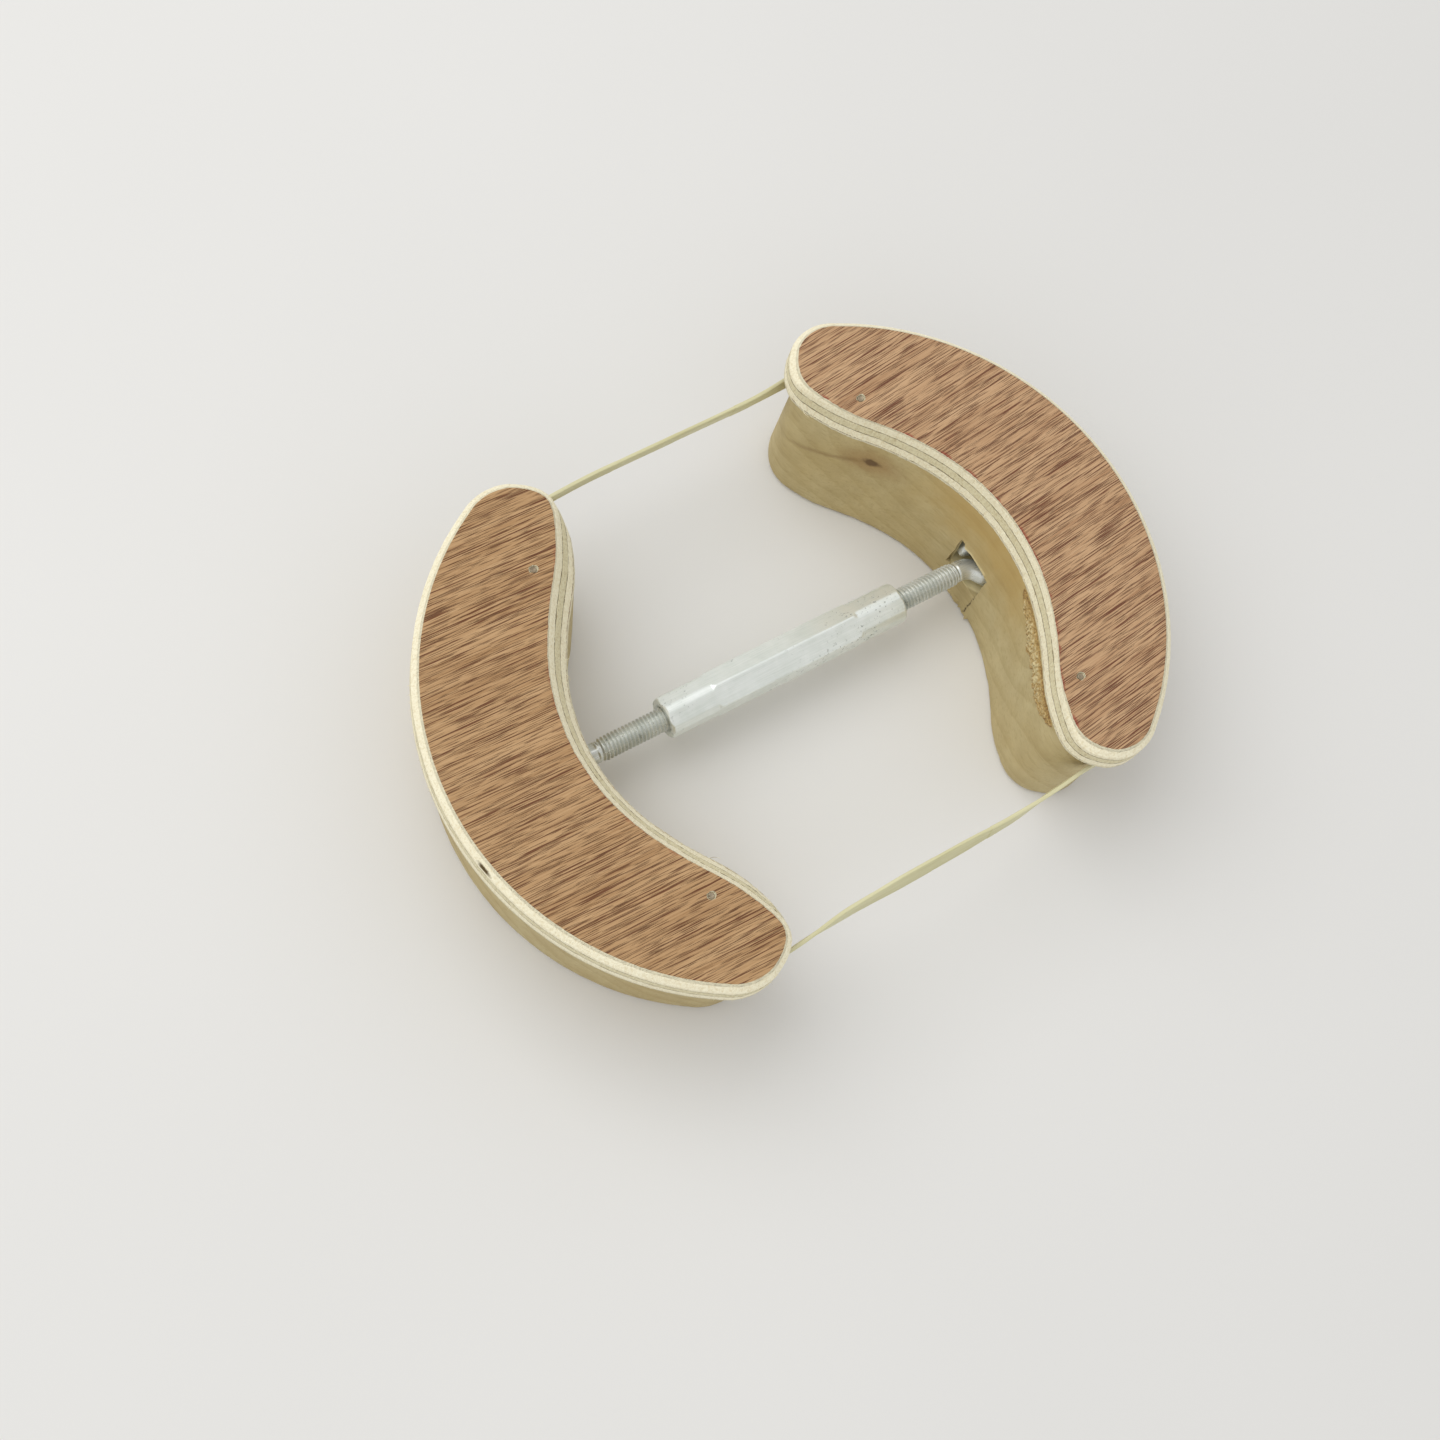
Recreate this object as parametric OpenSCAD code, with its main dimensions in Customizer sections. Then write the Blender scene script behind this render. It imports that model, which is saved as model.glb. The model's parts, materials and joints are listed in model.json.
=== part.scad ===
// Hat stretcher: two crescent wooden jaws pushed apart by a turnbuckle, with a rubber band round both.
// X runs along the turnbuckle, Y across it and Z up from the surface that the two blocks stand on.

/* [Jaw outline] */
// Radius of a cap's outer edge
outer_radius = 73.5; // [60:0.5:90]
// Radius of the round middle of the hollow, at the top face
hollow_radius = 53.5; // [40:0.5:65]
// Half the angle that the round middle of the hollow covers
hollow_angle = 30; // [20:1:35]
// Depth of a cap on its middle line, from the hollow to the outer edge
jaw_depth = 32; // [26:0.5:45]
// Radius of a cap's two round tips, at the top face
cap_tip_radius = 10.2; // [8:0.1:12]
// Radius of a block's two round tips, before the lean of its sawn face is added
block_tip_radius = 9.3; // [8:0.1:11]
// How far a cap stands out past its block, on the outer side
cap_lip = 5; // [2:0.5:8]
// Width of the bevel on a cap's outer top edge
edge_bevel = 1.8; // [0.5:0.1:2.5]

/* [Layers] */
// Height of the solid pine blocks
block_height = 35; // [28:0.5:60]
// Thickness of the hardwood face veneer
face_veneer = 0.6; // [0.3:0.1:1.2]
// Thickness of one of the three pale plies
ply = 2.6; // [1.5:0.1:4]
// Thickness of the veneer on the underside of the plywood
back_veneer = 0.6; // [0.3:0.1:1.2]

/* [Left jaw] */
// Angle that the left jaw has swung on its pin
left_swing = -1.4; // [-10:0.2:10]
// Sideways distance from the left jaw's pin to its middle line
left_offset = -4.5; // [-6:0.1:6]
// Distance from the top of the left block's sawn face to its pin
left_pin_depth = 4.8; // [3:0.1:12]
// How far the sawn edge of the left cap slopes out below its face veneer
left_cap_slope = 5.5; // [0:0.1:7]
// How far the sawn face of the left block leans out at the bottom
left_block_lean = 3; // [0:0.1:6]

/* [Right jaw] */
// Angle that the right jaw has swung on its pin
right_swing = 6.8; // [-10:0.2:10]
// Sideways distance from the right jaw's pin to its middle line
right_offset = 1.8; // [-6:0.1:6]
// Distance from the top of the right block's sawn face to its pin
right_pin_depth = 7.4; // [3:0.1:12]
// How far the sawn edge of the right cap slopes out below its face veneer
right_cap_slope = 1.3; // [0:0.1:7]
// How far the sawn face of the right block leans out at the bottom
right_block_lean = 3; // [0:0.1:6]

/* [Turnbuckle] */
// Height of the turnbuckle's axis above the standing surface
axis_height = 13; // [12:0.5:16]
// Length of the threaded sleeve
sleeve_length = 68; // [50:1:90]
// Distance across the sleeve's hexagon flats
sleeve_flats = 10; // [9:0.5:14]
// Length of the round turned stretch at each end of the sleeve
turned_length = 13; // [4:0.5:18]
// How far the turned stretch stands out past the hexagon's flats
turned_over = 0.3; // [0.1:0.05:0.5]
// Length of the cone between the turned stretch and the hexagon
taper_length = 4; // [2:0.5:6]
// Angle of the hexagon about the axis
sleeve_turn = 57; // [0:1:60]
// Outside diameter of the thread
thread_d = 6; // [5:0.5:7]
// Pitch of the thread
thread_pitch = 1; // [0.75:0.05:1.5]
// Depth of the thread
thread_depth = 0.6; // [0.4:0.05:0.8]
// Radial clearance between the thread and the sleeve's bore
thread_clearance = 0.1; // [0.05:0.01:0.2]
// Length of thread that shows outside the sleeve
thread_shown = 18; // [10:0.5:24]
// Length of thread inside the sleeve
thread_inside = 16; // [8:0.5:24]

/* [Eyes] */
// Diameter of the bare wire of the neck and the eye
wire_d = 5.3; // [4:0.1:6]
// Diameter of the hole in the eye
eye_hole = 5.2; // [4:0.1:7]
// Distance from the end of the thread to the middle of the eye
eye_reach = 12.2; // [11:0.1:18]
// Angle left open between the end of the wire and the neck
eye_gap = 42; // [36:1:60]
// Clearance round the eye in its room inside the block
eye_clearance = 1.1; // [0.5:0.1:2]
// Width of the mouth that lets the neck out of that room
mouth_width = 11.6; // [11.4:0.2:14]
// Height of the mouth's upper lip above the turnbuckle's axis
mouth_rise = 6; // [4:0.5:8]
// Radial clearance between the eye and the pin
pin_clearance = 0.1; // [0.05:0.01:0.3]
// Depth of the pin's seat below the eye's room
pin_seat = 7; // [3:0.5:7]

/* [Brads] */
// Diameter of the brads that hold the caps
brad_d = 1.6; // [1.2:0.1:2.2]
// Length of a brad
brad_length = 22; // [14:1:30]
// Distance of a brad from the jaw's middle line
brad_spread = 43; // [30:0.5:50]
// Distance of a brad from the edge of the hollow
brad_inset = 4; // [3:0.5:6]
// Depth of a brad's end below the face veneer
brad_sunk = 0.2; // [0:0.1:0.4]

/* [Band] */
// Width of the rubber band
band_width = 6.5; // [4:0.5:10]
// Thickness of the rubber band
band_thickness = 1; // [0.6:0.1:2]
// Distance from the cap down to the band
band_drop = 4; // [2:0.5:12]
// Clearance between the band and the blocks
band_clearance = 0.2; // [0.1:0.05:0.3]

/* [Hidden] */
$fn = 96;
LEFT = 0;
RIGHT = 1;
UP = 1;
DOWN = -1;

swing = [left_swing, right_swing];
offset_y = [left_offset, right_offset];
pin_depth = [left_pin_depth, right_pin_depth];
cap_slope = [left_cap_slope, right_cap_slope];
block_lean = [left_block_lean, right_block_lean];

cap_thickness = face_veneer + 3 * ply + back_veneer;
top_height = block_height + cap_thickness;
back_base = block_height;
lower_base = back_base + back_veneer;
middle_base = lower_base + ply;
upper_base = middle_base + ply;
face_base = upper_base + ply;

// Cuts run past the wood by this much, so that no two faces lie in one plane
overcut = 1;
// Curves that would only touch each other cross by this much
crossing = 0.05;

thread_r = thread_d / 2;
thread_start = sleeve_length / 2 - thread_inside;
thread_end = sleeve_length / 2 + thread_shown;
pin_x = thread_end + eye_reach;
eye_r = (eye_hole + wire_d) / 2;
bend_r = wire_d / 2 + 0.4;
bend_x = sqrt(pow(eye_r + bend_r, 2) - pow(bend_r, 2));
bend_angle = atan2(bend_r, bend_x);
bend_overlap = 0.3;
eye_room_d = 2 * eye_r + wire_d + 2 * eye_clearance;
eye_room_base = axis_height - wire_d / 2 - eye_clearance;
pin_d = eye_hole - 2 * pin_clearance;
pin_base = eye_room_base - pin_seat;
fit_clearance = 0.02;

block_outer_radius = outer_radius - cap_lip;
band_base = block_height - band_drop - band_width;

// Places on a jaw, in a frame with the pin at the origin and X pointing away from the turnbuckle
function edge_x(side) = cap_slope[side] - pin_depth[side];
function hollow_centre(side) = [edge_x(side) - hollow_radius, offset_y[side]];
function outer_centre(side) = [edge_x(side) + jaw_depth - outer_radius, offset_y[side]];
function across(up) = [cos(hollow_angle), up * sin(hollow_angle)];
function along(up) = [-sin(hollow_angle), up * cos(hollow_angle)];

// Radii of the hollow: at the top face, under the cap and at the bottom of the block
function cap_hollow(side) = hollow_radius - cap_slope[side];
function block_hollow(side) = cap_hollow(side) - block_lean[side];

// Radii of the tips as they are before the saw narrows them
function cap_tip_r(side) = cap_tip_radius + (edge_bevel + cap_slope[side] + overcut) / 2;
function block_tip_r(side) = block_tip_radius + (cap_slope[side] + block_lean[side] + overcut) / 2;

// Where the round hollow turns into the straight edge that leads to a tip
function bend(side, hollow, up) = hollow_centre(side) + hollow * across(up);
// Length of the straight edge, up to a tip that touches both it and the outer edge
function tip_run(reach, tip, outer, up) =
    -reach * along(up)
    + sqrt(pow(reach * along(up), 2) - reach * reach + pow(outer - tip + crossing, 2));
function tip_centre(side, hollow, outer, tip, up) =
    let (start = bend(side, hollow, up) + tip * across(up))
    start + along(up) * tip_run(start - outer_centre(side), tip, outer, up);

function cap_tip(side, up) =
    tip_centre(side, cap_hollow(side) - overcut, outer_radius, cap_tip_r(side), up);
function block_tip(side, up) =
    tip_centre(side, block_hollow(side) - overcut, block_outer_radius, block_tip_r(side), up);

// From a jaw's own frame to the turnbuckle's, where the left jaw is a mirror image
function turned(point, angle) =
    [point.x * cos(angle) - point.y * sin(angle), point.x * sin(angle) + point.y * cos(angle)];
function out_sign(side) = side == LEFT ? -1 : 1;
function placed(side, point) =
    [out_sign(side) * pin_x, 0] + turned([out_sign(side) * point.x, point.y], swing[side]);

// The middle of the whole outline, which stands over the origin
function reach_x(side) = placed(side, outer_centre(side)).x + out_sign(side) * outer_radius;
function reach_y(up) =
    up * max([for (side = [LEFT, RIGHT]) up * placed(side, cap_tip(side, up)).y + cap_tip_r(side)]);
middle = [(reach_x(LEFT) + reach_x(RIGHT)) / 2, (reach_y(UP) + reach_y(DOWN)) / 2];

// Stands the turnbuckle's frame over the origin
module centred() {
    translate([-middle.x, -middle.y, 0]) children();
}

// Puts a piece drawn in a jaw's own frame on its pin
module on_pin(side) {
    centred()
        translate([out_sign(side) * pin_x, 0, 0])
            rotate(swing[side])
                mirror([side == LEFT ? 1 : 0, 0, 0])
                    children();
}

// A jaw's outline with a round outer edge and two round tips, closed straight across its hollow
module rounded_side(side, tips, inner, outer, tip) {
    centre = outer_centre(side);
    beyond = [for (place = tips) place + outer * (place - centre) / norm(place - centre)];
    far_x = centre.x + 2 * outer;
    intersection() {
        translate(centre) circle(outer);
        polygon([
            inner[0], tips[0], beyond[0], [far_x, beyond[0].y],
            [far_x, beyond[1].y], beyond[1], tips[1], inner[1]
        ]);
    }
    for (place = tips) translate(place) circle(tip);
}

// A whole crescent, with wood left in its hollow for the saw
module crescent(side, hollow, outer, tip) {
    tips = [for (up = [UP, DOWN]) tip_centre(side, hollow, outer, tip, up)];
    step = tip - overcut / 2;
    rounded_side(side, tips, [tips[0] - step * across(UP), tips[1] - step * across(DOWN)], outer, tip);
}

// What a leaning saw takes away to make the hollow, between two heights with a radius at each
module sawn_hollow(side, low, high, low_hollow, high_hollow) {
    slope = (high_hollow - low_hollow) / (high - low);
    base = low - overcut;
    base_r = low_hollow - slope * overcut;
    rise = high - low + 2 * overcut;
    rim_r = base_r + slope * rise;
    reach = outer_radius;
    centre = hollow_centre(side);
    translate([centre.x, centre.y, base]) {
        cylinder(h = rise, r1 = base_r, r2 = rim_r);
        for (up = [UP, DOWN]) mirror([0, up == UP ? 0 : 1, 0])
            rotate(hollow_angle)
                translate([0, reach, 0])
                    rotate([90, 0, 0])
                        linear_extrude(reach)
                            polygon([
                                [0, 0], [base_r + crossing, 0], [rim_r + crossing, rise], [0, rise]
                            ]);
    }
}

// Places of a jaw's two brads, measured from the straight edges of the hollow at the top face
function brad_place(side, up) =
    let (start = bend(side, hollow_radius + brad_inset, up))
    start + along(up) * (brad_spread - abs(start.y - offset_y[side])) / cos(hollow_angle);

module brad_shafts(side, diameter, base, rise) {
    for (up = [UP, DOWN])
        translate(concat(brad_place(side, up), [base]))
            cylinder(h = rise, d = diameter, $fn = 32);
}

module brad_holes(side) {
    brad_shafts(
        side, brad_d + 2 * fit_clearance,
        top_height - brad_sunk - brad_length, brad_length + brad_sunk + overcut
    );
}

// One layer of a cap: the crescent, sawn at a slope inside and bevelled on its outer top edge
module cap_layer(side, base, thickness) {
    bevel_base = block_height - overcut;
    bevel_rise = top_height - bevel_base;
    centre = outer_centre(side);
    difference() {
        intersection() {
            translate([0, 0, base])
                linear_extrude(thickness)
                    crescent(side, cap_hollow(side) - overcut, outer_radius, cap_tip_r(side));
            translate([centre.x, centre.y, bevel_base])
                cylinder(
                    h = bevel_rise + overcut,
                    r1 = outer_radius - edge_bevel + bevel_rise,
                    r2 = outer_radius - edge_bevel - overcut
                );
        }
        sawn_hollow(side, block_height, top_height, cap_hollow(side), hollow_radius);
        brad_holes(side);
    }
}

// A solid pine block with the room for its eye, the pin's bore and the brads' holes
module block(side) {
    difference() {
        linear_extrude(block_height)
            crescent(side, block_hollow(side) - overcut, block_outer_radius, block_tip_r(side));
        sawn_hollow(side, 0, block_height, block_hollow(side), cap_hollow(side));
        eye_room(side);
        translate([0, 0, pin_base])
            cylinder(h = block_height, d = pin_d + 2 * fit_clearance, $fn = 48);
        brad_holes(side);
    }
}

// The round room in which an eye turns on its pin, and the mouth that lets its neck out of the sawn face
module eye_room(side) {
    mouth = pin_depth[side] + block_lean[side] + overcut;
    translate([0, 0, eye_room_base])
        linear_extrude(axis_height + mouth_rise - eye_room_base) {
            circle(d = eye_room_d);
            translate([-mouth, -mouth_width / 2])
                square([mouth, mouth_width]);
        }
}

module pivot_pin(side) {
    translate([0, 0, pin_base])
        cylinder(h = block_height - pin_base, d = pin_d, $fn = 48);
}

module cap_brads(side) {
    brad_shafts(side, brad_d, top_height - brad_sunk - brad_length, brad_length);
}

// Half section of a threaded rod with a bare neck, up to where its wire bends
module rod_section() {
    root_r = thread_r - thread_depth;
    turns = floor((thread_end - thread_start) / thread_pitch);
    crest = thread_pitch / 8;
    ridges = [
        for (i = [0:turns - 1])
            each [
                [root_r, thread_start + i * thread_pitch],
                [thread_r, thread_start + (i + 0.5) * thread_pitch - crest / 2],
                [thread_r, thread_start + (i + 0.5) * thread_pitch + crest / 2]
            ]
    ];
    neck_end = pin_x - bend_x + bend_overlap;
    polygon(concat(
        [[0, thread_start]], ridges,
        [[root_r, thread_start + turns * thread_pitch], [wire_d / 2, thread_end + crest]],
        [[wire_d / 2, neck_end], [0, neck_end]]
    ));
}

// A length of bent wire
module bent_wire(centre, radius, from, angle, diameter) {
    translate(centre)
        rotate(from)
            rotate_extrude(angle = angle)
                translate([radius, 0]) circle(d = diameter, $fn = 48);
}

// A threaded rod whose bare end bends aside and then round into an open eye that lies flat
module eye_rod() {
    overlap_angle = bend_overlap / eye_r * 180 / PI;
    translate([0, 0, axis_height]) {
        rotate([0, 90, 0]) rotate_extrude() rod_section();
        mirror([0, 1, 0]) {
            bent_wire([pin_x - bend_x, bend_r], bend_r, -90, 90 - bend_angle, wire_d - 2 * crossing);
            bent_wire(
                [pin_x, 0], eye_r, 180 + eye_gap,
                360 - eye_gap - bend_angle + overlap_angle, wire_d
            );
        }
    }
}

// Half section of the blank that the hexagon is turned down to at its two ends
module sleeve_section() {
    half = sleeve_length / 2;
    corner_r = sleeve_flats / sqrt(3) + overcut;
    turned_r = sleeve_flats / 2 + turned_over;
    polygon([
        [0, -half], [turned_r, -half], [turned_r, turned_length - half],
        [corner_r, turned_length + taper_length - half], [corner_r, half - turned_length - taper_length],
        [turned_r, half - turned_length], [turned_r, half], [0, half]
    ]);
}

module sleeve() {
    translate([0, 0, axis_height]) rotate([0, 90, 0]) difference() {
        intersection() {
            rotate_extrude() sleeve_section();
            rotate(sleeve_turn)
                cylinder(h = sleeve_length + 2 * overcut, d = 2 * sleeve_flats / sqrt(3), center = true, $fn = 6);
        }
        cylinder(h = sleeve_length + 2 * overcut, r = thread_r + thread_clearance, center = true);
    }
}

// The area inside a taut loop round both blocks, let out by a given distance
module band_area(out) {
    upper = [for (side = [LEFT, RIGHT]) placed(side, block_tip(side, UP))];
    lower = [for (side = [LEFT, RIGHT]) placed(side, block_tip(side, DOWN))];
    for (side = [LEFT, RIGHT])
        translate([out_sign(side) * pin_x, 0])
            rotate(swing[side])
                mirror([side == LEFT ? 1 : 0, 0])
                    band_end(side, [for (up = [UP, DOWN]) block_tip(side, up)], out);
    band_span(upper[LEFT], upper[RIGHT], block_tip_r(LEFT) + out, block_tip_r(RIGHT) + out);
    band_span(lower[RIGHT], lower[LEFT], block_tip_r(RIGHT) + out, block_tip_r(LEFT) + out);
}

module band_end(side, tips, out) {
    step = [block_tip_r(side) / 2, 0];
    rounded_side(side, tips, tips - [step, step], block_outer_radius + out, block_tip_r(side) + out);
}

// Half of the area between the jaws, with a straight edge that touches two tips on the left of the way
module band_span(from, to, from_r, to_r) {
    way = (to - from) / norm(to - from);
    lean = (from_r - to_r) / norm(to - from);
    aside = [-way.y, way.x] * sqrt(1 - lean * lean) + way * lean;
    inside = 1.2 * outer_radius * aside;
    polygon([from - inside, to - inside, to + (to_r - crossing) * aside, from + (from_r - crossing) * aside]);
}

module band() {
    translate([0, 0, band_base])
        linear_extrude(band_width)
            difference() {
                band_area(band_clearance + band_thickness);
                band_area(band_clearance);
            }
}

module left_block() { color("burlywood") on_pin(LEFT) block(LEFT); }
module left_back_veneer() { color("peru") on_pin(LEFT) cap_layer(LEFT, back_base, back_veneer); }
module left_lower_ply() { color("cornsilk") on_pin(LEFT) cap_layer(LEFT, lower_base, ply); }
module left_middle_ply() { color("wheat") on_pin(LEFT) cap_layer(LEFT, middle_base, ply); }
module left_upper_ply() { color("cornsilk") on_pin(LEFT) cap_layer(LEFT, upper_base, ply); }
module left_face_veneer() { color("sienna") on_pin(LEFT) cap_layer(LEFT, face_base, face_veneer); }
module left_cap_brads() { color("gray") on_pin(LEFT) cap_brads(LEFT); }
module left_pivot_pin() { color("silver") on_pin(LEFT) pivot_pin(LEFT); }
module left_eye_rod() { color("silver") centred() rotate(180) eye_rod(); }
module right_block() { color("burlywood") on_pin(RIGHT) block(RIGHT); }
module right_back_veneer() { color("peru") on_pin(RIGHT) cap_layer(RIGHT, back_base, back_veneer); }
module right_lower_ply() { color("cornsilk") on_pin(RIGHT) cap_layer(RIGHT, lower_base, ply); }
module right_middle_ply() { color("wheat") on_pin(RIGHT) cap_layer(RIGHT, middle_base, ply); }
module right_upper_ply() { color("cornsilk") on_pin(RIGHT) cap_layer(RIGHT, upper_base, ply); }
module right_face_veneer() { color("sienna") on_pin(RIGHT) cap_layer(RIGHT, face_base, face_veneer); }
module right_cap_brads() { color("gray") on_pin(RIGHT) cap_brads(RIGHT); }
module right_pivot_pin() { color("silver") on_pin(RIGHT) pivot_pin(RIGHT); }
module right_eye_rod() { color("silver") centred() eye_rod(); }
module turnbuckle_sleeve() { color("gainsboro") centred() sleeve(); }
module rubber_band() { color("beige") centred() band(); }

left_block();
left_back_veneer();
left_lower_ply();
left_middle_ply();
left_upper_ply();
left_face_veneer();
left_cap_brads();
left_pivot_pin();
left_eye_rod();
right_block();
right_back_veneer();
right_lower_ply();
right_middle_ply();
right_upper_ply();
right_face_veneer();
right_cap_brads();
right_pivot_pin();
right_eye_rod();
turnbuckle_sleeve();
rubber_band();
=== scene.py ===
"""Looks of the hat stretcher: two wooden jaws, the turnbuckle between them and the rubber band round both."""

import json
import logging
import math
import random
from dataclasses import dataclass, field
from enum import Enum
from typing import Sequence, Union

import bmesh
import bpy
from mathutils import Matrix, Vector, noise


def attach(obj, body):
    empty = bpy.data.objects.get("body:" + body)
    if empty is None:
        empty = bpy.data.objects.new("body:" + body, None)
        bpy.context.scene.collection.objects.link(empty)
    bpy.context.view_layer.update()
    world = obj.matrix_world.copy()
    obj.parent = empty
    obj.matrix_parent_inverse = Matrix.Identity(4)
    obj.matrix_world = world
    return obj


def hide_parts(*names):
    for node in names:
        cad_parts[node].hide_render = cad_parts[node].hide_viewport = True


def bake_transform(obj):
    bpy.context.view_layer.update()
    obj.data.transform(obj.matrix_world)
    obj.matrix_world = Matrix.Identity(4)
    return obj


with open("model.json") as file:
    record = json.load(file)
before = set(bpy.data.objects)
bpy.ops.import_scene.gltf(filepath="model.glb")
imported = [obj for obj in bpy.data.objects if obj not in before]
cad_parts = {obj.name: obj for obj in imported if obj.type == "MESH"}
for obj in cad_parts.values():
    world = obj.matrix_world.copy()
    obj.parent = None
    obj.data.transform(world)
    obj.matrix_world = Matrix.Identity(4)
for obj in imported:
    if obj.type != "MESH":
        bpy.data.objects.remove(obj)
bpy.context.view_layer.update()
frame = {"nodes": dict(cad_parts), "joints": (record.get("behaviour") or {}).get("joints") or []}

log = logging.getLogger("hat_stretcher")

MM = 0.001
TURN = 2 * math.pi
UP = Vector((0.0, 0.0, 1.0))

Colour = tuple[int, int, int]
Triple = tuple[float, float, float]
Ring = list[Vector]
Socket = bpy.types.NodeSocket
Sockets = bpy.types.bpy_prop_collection
Value = Union[float, Sequence[float], Socket]
Material = bpy.types.Material
Piece = bpy.types.Object
Path = list[tuple[Vector, Vector, float]]
Span = tuple[Vector, Vector, Vector]


class Side(Enum):
    """The two jaws; the value is the sign of the X that points away from the turnbuckle."""

    LEFT = -1
    RIGHT = 1

    def named(self, thing: str) -> str:
        """The name of a thing on this side."""
        return f"{self.name.lower()}_{thing}"


SWING = {Side.LEFT: -1.4, Side.RIGHT: 6.8}


class Slot(Enum):
    """Material slots of the record."""

    PINE = "pine"
    FACE = "face_veneer"
    BACK = "back_veneer"
    PALE_PLY = "pale_ply"
    CORE_PLY = "core_ply"
    STEEL = "steel"
    ZINC = "zinc_steel"
    ALUMINIUM = "aluminium"
    RUBBER = "rubber"


class Effect(Enum):
    """Shader effects that more than one finish uses."""

    FIBRE = "wood_fibre"
    SAW = "saw_marks"
    GRIME = "handling_grime"
    SCUFFS = "metal_scuffs"


def linear(colour: Colour) -> tuple[float, float, float, float]:
    """Turns a display colour into the linear colour that shaders take.

    Args:
        colour: Red, green and blue from 0 to 255.

    Returns:
        Linear red, green, blue and an alpha of 1.
    """
    parts = [part / 255 for part in colour]
    red, green, blue = [p / 12.92 if p <= 0.04045 else ((p + 0.055) / 1.055) ** 2.4 for p in parts]
    return red, green, blue, 1.0


def angles(count: int) -> list[float]:
    """Angles of points spread evenly round a circle."""
    return [TURN * i / count for i in range(count)]


def polar(radius: float, angle: float, middle: Vector = Vector((0.0, 0.0))) -> Vector:
    """A point on a circle in the plan.

    Args:
        radius: The circle's radius.
        angle: The point's angle.
        middle: The circle's middle.

    Returns:
        The point.
    """
    return Vector((middle.x + radius * math.cos(angle), middle.y + radius * math.sin(angle)))


def held(value: float, low: float = 0.0, high: float = 1.0) -> float:
    """Keeps a value between two limits."""
    return max(low, min(high, value))


def eased(share: float) -> float:
    """Makes a share from 0 to 1 start and end slowly."""
    return share * share * (3 - 2 * share)


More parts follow.
